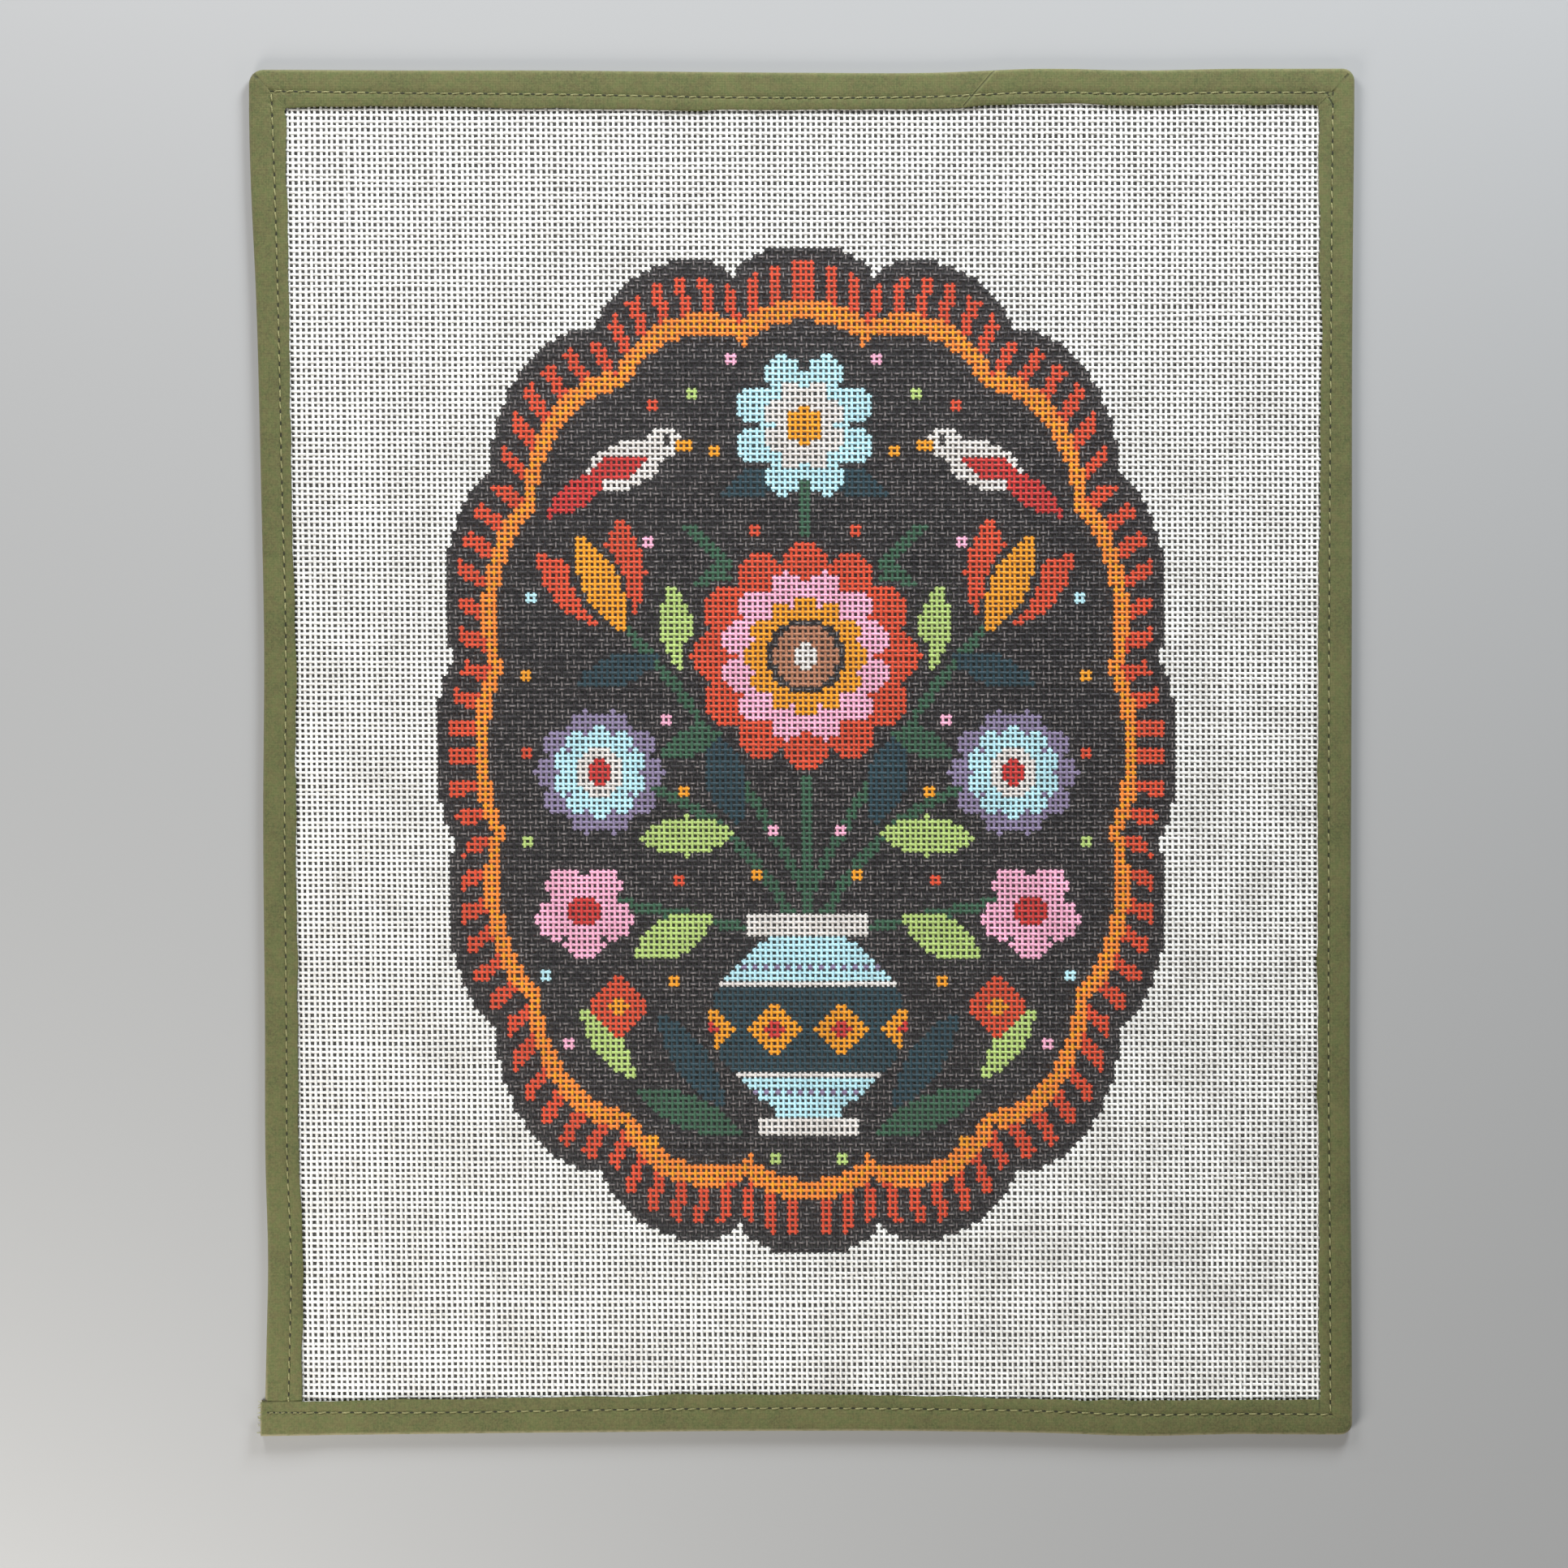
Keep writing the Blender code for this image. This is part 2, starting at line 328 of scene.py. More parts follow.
def smooth_line(knots, values, at):
    """Smooth curve through values at knots: a cubic between each two, its slope at a knot
    that of the line from the knot before to the knot after. It goes on straight past the
    ends."""
    slopes = np.gradient(values, knots)
    place = np.clip(at, knots[0], knots[-1])
    row = np.clip(np.searchsorted(knots, place) - 1, 0, len(knots) - 2)
    span = knots[row + 1] - knots[row]
    t = (place - knots[row]) / span
    curve = ((2 * t**3 - 3 * t**2 + 1) * values[row] + (t**3 - 2 * t**2 + t) * span * slopes[row]
             + (3 * t**2 - 2 * t**3) * values[row + 1]
             + (t**3 - t**2) * span * slopes[row + 1])
    return curve + (at - place) * np.where(at > place, slopes[-1], slopes[0])


def read_sides(points):
    """Knots and values of each side's fold, lip and stitching, read from the tape's node.

    The fold's vertices lie half way up the tape. The lip's lie on the floor, well inside the
    fold. The stitching's lie a little below the tape's top.
    """
    heights = {"fold": FOLD_RADIUS, "lip": 0.0, "stitch": TAPE_TOP - STITCH_SINK}
    on_fold = np.abs(points[:, 2] - FOLD_RADIUS) < 0.05
    low_left = (points[:, 0] < START_RIGHT_END) & on_fold
    start = points[low_left & (points[:, 1] > START_LOWEST - HALF_SIZE[1]), 1].min()
    found = {}
    for side, (axis, sign, _) in SIDES.items():
        along = points[:, 1 - axis]
        limit = HALF_SIZE[1 - axis] - CORNER_REACH
        outer = points[:, axis] * sign > HALF_SIZE[axis] - BAND
        inside = (np.abs(along) < limit) & outer
        if side == "left":
            inside &= along > start - 0.05
        if side == "bottom":
            on_left = (along < BAND - HALF_SIZE[0]) & (points[:, 1] > start - 0.1)
            inside = (along < limit) & outer & ~on_left
        lines = {}
        for name, height in heights.items():
            chosen = points[inside & (np.abs(points[:, 2] - height) < 0.02)]
            depth = (HALF_SIZE[axis] - chosen[:, axis] * sign)
            if name == "fold":
                chosen = chosen[depth < FOLD_FARTHEST]
            else:
                fold = smooth_line(*lines["fold"], chosen[:, 1 - axis])
                inward = (fold - chosen[:, axis]) * sign
                is_lip = inward > LIP_NEAREST
                is_stitch = (inward > STITCH_NEAREST) & ~is_lip
                chosen = chosen[is_lip if name == "lip" else is_stitch]
            knots, first = np.unique(np.round(chosen[:, 1 - axis], 1), return_index=True)
            lines[name] = (knots, chosen[first, axis])
        found[side] = lines
    return found, float(start)


tape_lines, tape_start = read_sides(node_points(nodes["binding"]))


def across(side, name, at):
    """Where a side's fold, lip or stitching lies, on the axis across the side."""
    return smooth_line(*tape_lines[side][name], np.asarray(at, dtype=float))


# %% [markdown]
# ## The path of the tape
# One length of tape starts low on the left, runs up, over the top, down and back along the
# bottom, where its cut end covers its own start. Rings of points are set across it about a
# millimetre apart, a whole number to each stitch, so that the cloth can be drawn in at every
# needle hole. At a corner the rings fan out: the fold goes straight, round an arc and straight
# again while the lip stays almost where it is.

# %%
LIP_RADIUS = 1.0
CORNER_RADIUS = {"top": 5.0, "right": 4.2, "bottom": 4.2}
FAN_STEPS = 26
RINGS_PER_STITCH = 4
MITRE_LIFT = {"top": 0.22, "right": 0.07, "bottom": 0.05}
MITRE_UNDER_SHARE = 0.3
MITRE_REACH = 5.0
MITRE_GAP = 0.012
END_LIFT = 0.6
END_LIFT_REACH = 26.0
TUCK = 9.0
FIRST_HOLE = 3.0
LAST_HOLE = 2.6
DOUBLE_SEWN = 17.5
STITCH_GUESS = 7.5

# At the top right the sewing cuts the corner: one row ends short of it, and the next starts
# lower down
SHORT_OF_CORNER = 1.9
BELOW_CORNER = 4.4


def corner_of(first, second, line):
    """Where one line of a side meets the same line of the next side."""
    if SIDES[first][0] == 0:
        upright, level = first, second
    else:
        upright, level = second, first
    y_side = SIDES[level][1] * (HALF_SIZE[1] - CORNER_REACH)
    x_side = SIDES[upright][1] * (HALF_SIZE[0] - CORNER_REACH)
    return np.array((float(across(upright, line, y_side)), float(across(level, line, x_side))))


CORNERS = {("left", "top"), ("top", "right"), ("right", "bottom")}
fold_corner = {pair: corner_of(*pair, "fold") for pair in CORNERS}
lip_corner = {pair: corner_of(*pair, "lip") for pair in CORNERS}
stitch_corner = {pair: corner_of(*pair, "stitch") for pair in CORNERS}

# Each side's stitching, from its first needle hole to its last, as places along the side
cut_x = float(tape_lines["bottom"]["fold"][0][0])
STITCH_SPANS = {
    "left": (tape_start - TUCK + FIRST_HOLE, stitch_corner["left", "top"][1]),
    "top": (stitch_corner["left", "top"][0],
            stitch_corner["top", "right"][0] - SHORT_OF_CORNER),
    "right": (stitch_corner["top", "right"][1] - BELOW_CORNER,
              stitch_corner["right", "bottom"][1]),
    "bottom": (stitch_corner["right", "bottom"][0], cut_x + LAST_HOLE),
}


def needle_holes(side):
    """Places of a side's needle holes along it, and the exact stitch length there."""
    first, last = STITCH_SPANS[side]
    count = round(abs(last - first) / PITCH)
    return np.linspace(first, last, count + 1), (last - first) / count


def straight_rings(side, start, end):
    """Fold and lip of each ring on a side's straight part, in the order of travel."""
    axis, _, _ = SIDES[side]
    first, _ = STITCH_SPANS[side]
    step = needle_holes(side)[1] / RINGS_PER_STITCH
    numbers = np.arange(math.ceil((start - first) / step + 0.3), (end - first) / step - 0.3)
    along = np.concatenate(((start,), first + numbers * step, (end,)))
    fold = np.empty((len(along), 2))
    lip = np.empty((len(along), 2))
    fold[:, 1 - axis] = lip[:, 1 - axis] = along
    fold[:, axis] = across(side, "fold", along)
    lip[:, axis] = across(side, "lip", along)
    return fold, lip


def corner_rings(first, second):
    """Fold, lip and lift of the rings that fan round one corner.

    The fold covers equal lengths from ring to ring, and the lip equal turns. Two rings stand
    close together at the mitre, where one layer of tape steps down to the other.
    """
    pair = (first, second)
    radius = CORNER_RADIUS[second]
    before = np.array(SIDES[first][2])
    after = np.array(SIDES[second][2])
    fold, lip = fold_corner[pair], lip_corner[pair]
    lead_in = abs(np.dot(fold - lip, before)) + LIP_RADIUS - radius
    lead_out = abs(np.dot(fold - lip, after)) + LIP_RADIUS - radius
    arc = radius * math.pi / 2
    length = lead_in + arc + lead_out
    mitre = (lead_in + arc / 2) / length
    shares = np.linspace(0, 1, FAN_STEPS + 1)[1:-1]
    apart = shares[np.abs(shares - mitre) > MITRE_GAP]
    at_mitre = (mitre - MITRE_GAP / 2, mitre + MITRE_GAP / 2)
    shares = np.sort(np.concatenate((apart, at_mitre)))[:, None]
    run = shares * length
    bend = np.clip((run - lead_in) / radius, 0, math.pi / 2)
    centre = fold - before * radius + after * radius
    fold_points = (centre + radius * (before * np.sin(bend) - after * np.cos(bend))
                   + before * np.minimum(run - lead_in, 0)
                   + after * np.maximum(run - lead_in - arc, 0))
    turn = shares * math.pi / 2
    lip_points = (lip + LIP_RADIUS * (after - before)
                  + LIP_RADIUS * (before * np.sin(turn) - after * np.cos(turn)))
    past = (run - mitre * length)[:, 0]
    share = np.where(past <= 0, 1.0, MITRE_UNDER_SHARE)
    lift = MITRE_LIFT[second] * share * np.exp(-np.abs(past) / MITRE_REACH)
    return fold_points, lip_points, lift


def tape_path():
    """Every ring of the tape in order: fold, lip, lift and the side that it belongs to."""
    order = list(SIDES)
    starts = {"left": tape_start - TUCK}
    ends = {"bottom": cut_x}
    for first, second in zip(order, order[1:]):
        lip = lip_corner[first, second]
        axis = SIDES[first][0]
        ends[first] = lip[1 - axis] - LIP_RADIUS * SIDES[first][2][1 - axis]
        starts[second] = lip[axis] + LIP_RADIUS * SIDES[second][2][axis]
    folds, lips, lifts, sides = [], [], [], []
    for number, side in enumerate(order):
        fold, lip = straight_rings(side, starts[side], ends[side])
        lift = np.zeros(len(fold))
        if side == "bottom":
            away = np.clip(2 * (fold[:, 0] - cut_x) / END_LIFT_REACH - 1, 0, 1)
            lift = END_LIFT * (0.5 + 0.5 * np.cos(np.pi * away))
        folds.append(fold)
        lips.append(lip)
        lifts.append(lift)
        sides.append(np.full(len(fold), number))
        if side != order[-1]:
            after = order[number + 1]
            fold, lip, lift = corner_rings(side, after)
            folds.append(fold)
            lips.append(lip)
            lifts.append(lift)
            outer = fold - fold_corner[side, after]
            travelled = outer @ np.array(SIDES[side][2]) + outer @ np.array(SIDES[after][2])
            sides.append(np.where(travelled < 0, number, number + 1))
    return np.concatenate(folds), np.concatenate(lips), np.concatenate(lifts), np.concatenate(sides)


def stitch_place(fold, inward, side_numbers):
    """Distance from the fold to the stitching on each ring, and stitches since its side's
    first needle hole. The distance is found where the ring crosses the side's line."""
    order = list(SIDES)
    distance = np.empty(len(fold))
    phase = np.empty(len(fold))
    for number, side in enumerate(order):
        mine = side_numbers == number
        axis = SIDES[side][0]
        along = fold[mine, 1 - axis]
        reach = np.full(mine.sum(), STITCH_GUESS)
        for _ in range(4):
            spot = along + inward[mine, 1 - axis] * reach
            reach = (across(side, "stitch", spot) - fold[mine, axis]) / inward[mine, axis]
        distance[mine] = reach
        first, step = STITCH_SPANS[side][0], needle_holes(side)[1]
        phase[mine] = (along + inward[mine, 1 - axis] * reach - first) / step
    return distance, phase


ring_fold, ring_lip, ring_lift, ring_side = tape_path()
print(f"tape path: {len(ring_fold)} rings")

# %% [markdown]
# ## The tape
# On the real panel this is a woven cotton tape with both edges turned under, folded over the
# raw edge of the canvas and sewn through. It could be made by lofting a section along a
# curve, but the section changes everywhere: the lip wavers, each needle hole draws the cloth
# in, the corners are folded over themselves and the cut end rides on the tape's own start.
# So every ring is worked out from its own fold, lip and lift.

# %%
WAVER = 0.16
PILLOW = 0.12
TROUGH_WIDTH = 0.75
HOLE_DEPTH = 0.14
RIPPLE = 0.09
LONG_RIPPLE = 17.3
RIPPLE_SLANT = 0.8
LIP_DROP = 0.38
SEAM_FOLD = (66.7, 235.6)
SEAM_LIP = (56.0, 223.2)
SEAM_RIDGE = 0.22
SEAM_FLAT = 2.0
SEAM_SLOPE = 0.8

# The points of a ring by their part of the section, in the order of section_places
ON_FOLD = slice(0, 11)
ON_WALL = slice(11, 24)
ON_LIP = slice(24, 27)
IN_SLOT = slice(27, 33)
ON_LOW_LIP = slice(33, 37)
ON_UNDERSIDE = slice(37, 42)
RIPPLED = slice(8, 25)
FRONT_STITCH = 17
BACK_STITCH = 39
FOLD_ANGLES = np.radians(np.linspace(-90, 90, 11))


def section_places(reach, stitch):
    """Distance from the fold of each point of a ring, from the fold's lowest point up round
    it, over the upper wall, back through the slot and under the lower wall."""
    ones = np.ones_like(reach)[:, None]
    fold = FOLD_RADIUS * (1 - np.cos(FOLD_ANGLES)) * ones
    outer = FOLD_RADIUS + (stitch[:, None] - FOLD_RADIUS) * np.array(
        (0.18, 0.38, 0.58, 0.74, 0.86, 0.94, 1.0))
    inner = stitch[:, None] + (reach - stitch)[:, None] * np.array(
        (0.08, 0.18, 0.36, 0.58, 0.8, 0.93))
    lip = reach[:, None] - np.array((0.1, 0.0, 0.06))
    slot = np.concatenate((stitch[:, None], 1.6 * ones, 1.2 * ones, 1.2 * ones, 1.6 * ones,
                           stitch[:, None]), 1)
    low_lip = reach[:, None] - np.array((0.05, 0.0, 0.12, 0.5))
    under = stitch[:, None] + np.array((1.0, 0.45, 0.0, -0.45, -1.0))
    return np.concatenate((fold, outer, inner, lip, slot, low_lip, under), 1)


def section_heights(places, reach, stitch, draw):
    """Height of each point of a ring, over the flat parts of the section.

    The upper wall is slightly filled between its fold, its stitching and its lip, and sinks
    along the stitching by the sink plus what this ring is drawn in.
    """
    heights = np.empty_like(places)
    heights[:, ON_FOLD] = FOLD_RADIUS * (1 + np.sin(FOLD_ANGLES))
    wall = places[:, ON_WALL]
    from_stitch = wall - stitch[:, None]
    outside = np.clip((wall - FOLD_RADIUS) / (stitch[:, None] - FOLD_RADIUS), 0, 1)
    inside = np.clip(from_stitch / (reach - stitch)[:, None], 0, 1)
    filled = PILLOW * np.sin(np.pi * outside) + 0.6 * PILLOW * np.sin(np.pi * inside)
    trough = (STITCH_SINK + draw)[:, None] * np.exp(-((from_stitch / TROUGH_WIDTH) ** 2))
    heights[:, ON_WALL] = TAPE_TOP + filled - trough - LIP_DROP * inside**2
    heights[:, ON_LIP] = TAPE_TOP - LIP_DROP - np.array((0.03, 0.2, 0.42))
    heights[:, IN_SLOT] = np.array((2.4, 2.4, 2.1, 1.1, 0.8, 0.8))
    heights[:, ON_LOW_LIP] = np.array((0.75, 0.4, 0.12, 0.0))
    heights[:, ON_UNDERSIDE] = np.array((0.0, 0.18, 0.34, 0.18, 0.0))
    return heights


def build_tape():
    """The tape's mesh, with its distances from the fold and the stitching for the material.

    Returns the mesh and, for each ring, the points where the stitching of the front and of
    the back crosses it.
    """
    rng = np.random.default_rng(11)
    count = len(ring_fold)
    width = np.linalg.norm(ring_lip - ring_fold, axis=1)
    inward = (ring_lip - ring_fold) / width[:, None]
    stitch, phase = stitch_place(ring_fold, inward, ring_side)
    # Where it was sewn over again there are twice as many needle holes
    doubled_from = np.argmax(needle_holes("bottom")[0] < cut_x + DOUBLE_SEWN)
    phase += np.where(ring_side == 3, np.maximum(phase - doubled_from, 0), 0)
    straight = np.abs(inward).max(1) > 0.999
    reach = width + WAVER * wander(rng, (count,), 14) * np.where(straight, 1.0, 0.3)
    draw = HOLE_DEPTH * np.cos(2 * np.pi * phase) + 0.03 * wander(rng, (count,), 30)
    places = section_places(reach, stitch)
    heights = section_heights(places, reach, stitch, draw)

    # The cloth of the upper wall ripples, mostly on a slant, as bias tape does when it is sewn
    along = np.cumsum(np.linalg.norm(np.diff(ring_fold, axis=0, prepend=ring_fold[:1]), axis=1))
    slant = along[:, None] - RIPPLE_SLANT * places[:, RIPPLED]
    strength = 0.5 + 0.5 * np.tanh(wander(rng, (count,), 60))[:, None]
    calm = np.sin(np.pi * np.clip(places[:, RIPPLED] / reach[:, None], 0, 1))
    heights[:, RIPPLED] += RIPPLE * strength * calm * (
        np.sin(2 * np.pi * slant / PITCH) + 0.8 * np.sin(2 * np.pi * slant / LONG_RIPPLE + 2.0))

    points = np.empty((count, places.shape[1], 3))
    points[:, :, :2] = (ring_fold[:, None, :] + places[:, :, None] * inward[:, None, :])
    points[:, :, 2] = heights

    # The join: the ends of two lengths, sewn on the slant and pressed open under the tape
    seam = np.array(SEAM_LIP) - np.array(SEAM_FOLD)
    seam /= np.linalg.norm(seam)
    offset = points[:, :, :2] - np.array(SEAM_FOLD)
    from_seam = offset[:, :, 1] * seam[0] - offset[:, :, 0] * seam[1]
    thicker = np.exp(-((np.abs(from_seam) - SEAM_FLAT).clip(0) / SEAM_SLOPE) ** 2)
    on_top = (points[:, :, 1] > 200) & (heights > 2.6)
    points[:, :, 2] += np.where(on_top, SEAM_RIDGE * thicker, 0.0)

    # What lies above the slot rises with the lift
    share = np.clip((heights - FOLD_RADIUS) / 0.8, 0, 1)
    points[:, :, 2] += ring_lift[:, None] * share

    # The start is flattened under the bottom run, whose lip it meets
    under = np.clip((tape_start + 0.5 - points[:, :, 1]) / 0.8, 0, 1)
    under *= (ring_side == 0)[:, None]
    squeezed = 0.9 + points[:, :, 2] / TAPE_TOP * 2.0
    points[:, :, 2] += under * (squeezed - points[:, :, 2])

    sides = points.shape[1]
    quads, ends = tube_faces(1, count, sides)
    mesh = new_mesh("binding_tape", points.reshape(-1, 3), quads[:, ::-1], ends[:, ::-1])
    add_values(mesh, "from_fold", "POINT", places)
    add_values(mesh, "from_stitch", "POINT", places - stitch[:, None])
    add_values(mesh, "phase", "POINT", np.broadcast_to(phase[:, None], places.shape))
    last_hole = doubled_from + 2 * (len(needle_holes("bottom")[0]) - 1 - doubled_from)
    past_end = np.where(ring_side == 3, phase - last_hole, 0)
    add_values(mesh, "past_end", "POINT", np.broadcast_to(past_end[:, None], places.shape))

    # Map for baking: the length is cut in six, and the pieces are stacked
    ring, share_round = tube_corners(1, count, sides)
    face_ring = ring.reshape(-1, 4)[:, :1].repeat(4, 1).ravel()
    bands = 6
    per_band = count / bands
    band = np.floor(face_ring / per_band)
    u = (ring - band * per_band) / (per_band + 1) * 0.98 + 0.01
    v = (band + 0.02 + 0.96 * share_round) / bands
    u = u.reshape(-1, 4)[:, ::-1].ravel()
    v = v.reshape(-1, 4)[:, ::-1].ravel()
    cap = np.linspace(0, 2 * np.pi, sides, endpoint=False)
    u = np.concatenate((u, 0.995 + 0.004 * np.cos(cap), 0.995 + 0.004 * np.cos(cap)))
    v = np.concatenate((v, 0.2 + 0.004 * np.sin(cap), 0.7 + 0.004 * np.sin(cap)))
    add_map(mesh, "OFBake", u, v)
    marked = np.zeros((count, sides), bool)
    marked[0] = marked[-1] = True
    sharpen(mesh, marked.ravel())
    return mesh, points[:, FRONT_STITCH], points[:, BACK_STITCH]


tape_mesh, front_line, back_line = build_tape()

# %% [markdown]
# ## The chart
# The painting is worked out on the canvas's own grid, one colour for each crossing of two
# threads, with ordinary folk motifs drawn by formula: a vase of flowers between two birds in
# a scalloped oval. It is mirrored about the middle, so most shapes are given once.

# %%
VISIBLE_COLUMNS = 184
VISIBLE_ROWS = 226
MIDDLE_COLUMN = (VISIBLE_COLUMNS - 1) / 2
OVAL_MIDDLE = 112.0
OVAL_HALF = (66.4, 89.0)
OVAL_POWER = 2.5
SCALLOPS = 16
RIBS = 192
VASE_TOP = 142
VASE_HEIGHT = 36

PAINTS = {
    "bare": (251, 250, 245),
    "black": (24, 18, 21),
    "coral": (222, 74, 36),
    "orange": (255, 141, 42),
    "yellow": (247, 160, 12),
    "red": (206, 48, 42),
    "pink": (255, 182, 210),
    "lime": (184, 210, 119),
    "blue": (193, 240, 250),
    "teal": (30, 62, 72),
    "green": (52, 94, 68),
    "tan": (184, 124, 92),
    "lavender": (142, 128, 160),
    "white": (234, 228, 222),
}
POTS = {name: number for number, name in enumerate(PAINTS)}


def oval(u, v, centre, radii, turn=0.0):
    """True inside an ellipse with its long axis turned by so many degrees."""
    angle = math.radians(turn)
    du = u - centre[0]
    dv = v - centre[1]
    long = du * math.cos(angle) + dv * math.sin(angle)
    short = dv * math.cos(angle) - du * math.sin(angle)
    return (long / radii[0]) ** 2 + (short / radii[1]) ** 2 <= 1.0


def blossom(u, v, centre, radius, petals, depth, turn=0.0):
    """True inside a flower seen from the front: the radius dips between the petals."""
    du = u - centre[0]
    dv = v - centre[1]
    angle = np.arctan2(dv, du) - math.radians(turn)
    edge = radius * (1 - depth + depth * np.abs(np.cos(petals * angle / 2)) ** 0.6)
    return np.hypot(du, dv) <= edge


def leaf(u, v, base, tip, width):
    """True inside an almond from base to tip, as wide as a sine at each place along it."""
    run = np.subtract(tip, base).astype(float)
    length = np.hypot(*run)
    run /= length
    du = u - base[0]
    dv = v - base[1]
    share = np.clip((du * run[0] + dv * run[1]) / length, 0, 1)
    aside = np.abs(dv * run[0] - du * run[1])
    return (share > 0) & (share < 1) & (aside <= width / 2 * np.sin(np.pi * share) ** 0.8)


def stem(u, v, start, bend, end, width=1.9):
    """True near a curve that leaves start towards bend and ends at end."""
    t = np.linspace(0, 1, 90)[:, None]
    line = (1 - t) ** 2 * np.array(start) + 2 * t * (1 - t) * np.array(bend) + t**2 * np.array(end)
    gaps = np.hypot(u[..., None] - line[:, 0], v[..., None] - line[:, 1])
    return gaps.min(-1) <= width / 2


def paint_chart():
    """Number of the paint pot at each visible crossing, row by row from the top."""
    v, column = np.mgrid[0:VISIBLE_ROWS, 0:VISIBLE_COLUMNS].astype(float)
    u = np.abs(column - MIDDLE_COLUMN)
    pot = np.zeros(u.shape, int)

    def paint(where, colour):
        pot[where] = POTS[colour]

    # Scalloped oval with a ribbed border
    across_oval = u / OVAL_HALF[0]
    down_oval = (v - OVAL_MIDDLE) / OVAL_HALF[1]
    level = (across_oval**OVAL_POWER + np.abs(down_oval) ** OVAL_POWER) ** (1 / OVAL_POWER)
    angle = np.arctan2(down_oval, across_oval)
    level /= 1 - 0.055 * (1 - np.abs(np.cos(SCALLOPS / 2 * angle)) ** 0.55)
    rib = np.floor((angle / np.pi + 0.5) * RIBS / 2).astype(int)
    paint(level <= 1.0, "black")
    paint((level <= 0.967) & (level > 0.895) & (rib % 2 == 0), "coral")
    paint((level <= 0.895) & (level > 0.855), "orange")
    paint((level <= 0.886) & (level > 0.866) & ((column + v) % 2 == 0), "yellow")
    paint(level <= 0.855, "black")

    # Stems and leaves
    paint((u < 1) & (v > 60) & (v < 142), "green")
    for start, bend, end in (
        ((1, 146), (12, 122), (32, 118)),
        ((2, 146), (26, 141), (36, 139)),
        ((0, 138), (18, 104), (34, 88)),
        ((0, 100), (10, 80), (21, 72)),
    ):
        paint(stem(u, v, start, bend, end), "green")
    for base, tip, width, colour in (
        ((13, 127), (30, 128), 7, "lime"),
        ((12, 126), (17, 108), 7, "teal"),
        ((17, 142), (31, 149), 7, "lime"),
        ((15, 108), (26, 113), 5, "green"),
        ((22, 98), (24, 82), 6, "lime"),
        ((26, 95), (41, 100), 6, "teal"),
        ((8, 79), (20, 82), 5, "green"),
        ((3, 62), (15, 66), 5, "teal"),
        ((12, 180), (31, 173), 6, "green"),
        ((15, 176), (27, 159), 6, "teal"),
        ((31, 171), (41, 158), 5, "lime"),
    ):
        paint(leaf(u, v, base, tip, width), colour)

    # Flowers, from the outer petals in: radius, petals, depth of the dips and turn
    for centre, rings in (
        ((0, 95), ((22, 12, 0.16, 0, "black"), (20.5, 12, 0.18, 0, "coral"),
                   (15.5, 12, 0.2, 15, "pink"), (10.8, 12, 0.2, 0, "yellow"),
                   (6.9, 1, 0.0, 0, "black"), (5.6, 1, 0.0, 0, "tan"),
                   (2.2, 1, 0.0, 0, "white"))),
        ((0, 54), ((13, 8, 0.42, 22.5, "blue"), (8, 8, 0.4, 22.5, "white"),
                   (3.3, 1, 0.0, 0, "yellow"))),
        ((37, 116), ((11.5, 10, 0.22, 0, "lavender"), (8.4, 10, 0.2, 18, "blue"),
                     (4.4, 1, 0.0, 0, "white"), (2.2, 1, 0.0, 0, "red"))),
        ((40, 141), ((9, 5, 0.4, 90, "pink"), (3.0, 1, 0.0, 0, "red"))),
        ((34, 158), ((5.2, 4, 0.3, 0, "coral"), (1.6, 1, 0.0, 0, "yellow"))),
    ):
        for radius, petals, depth, turn, colour in rings:
            paint(blossom(u, v, centre, radius, petals, depth, turn), colour)

    # Tulips
    for base, tip, width, colour in (
        ((32, 90), (33, 70), 8, "coral"),
        ((33, 90), (48, 77), 8, "coral"),
        ((32, 92), (42, 71), 9, "black"),
        ((32, 91), (41, 73), 6.6, "yellow"),
    ):
        paint(leaf(u, v, base, tip, width), colour)

    # Vase with a band of lozenges
    top = VASE_TOP
    low = top + VASE_HEIGHT
    shoulder = np.clip((v - top - 4) / 30, 0, 1)
    half = 7 + 11.5 * np.sin(np.pi * shoulder) ** 0.8 - 1.5 * shoulder
    body = (v >= top + 4) & (v < low) & (u <= half)
    band = np.abs(v - top - 20)
    lozenge = band + np.abs((column + 0.5 - 92) % 12 - 6)
    paint(body, "blue")
    paint((v >= top) & (v < top + 4) & (u <= 10.5), "white")
    paint((v >= low) & (v < low + 3) & (u <= 8.5), "white")
    paint(body & (band <= 8), "white")
    paint(body & (band <= 7), "teal")
    paint(body & (lozenge <= 5.2), "yellow")
    paint(body & (lozenge <= 2.2), "red")
    paint(body & (np.abs(band - 11) <= 0.5) & (column % 2 == 0), "lavender")

    # Birds
    paint(oval(u, v, (32, 61), (7.4, 4.2), 24), "white")
    paint(oval(u, v, (25, 57), (3.2, 3.0)), "white")
    paint(leaf(u, v, (35, 62), (46, 70), 4.6), "red")
    paint(leaf(u, v, (28, 60), (39, 63), 4.6), "red")
    paint((np.abs(u - 21.4) < 1.2) & (np.abs(v - 57.5) < 0.8), "yellow")
    paint((np.abs(u - 24.5) < 0.8) & (np.abs(v - 56.5) < 0.8), "black")

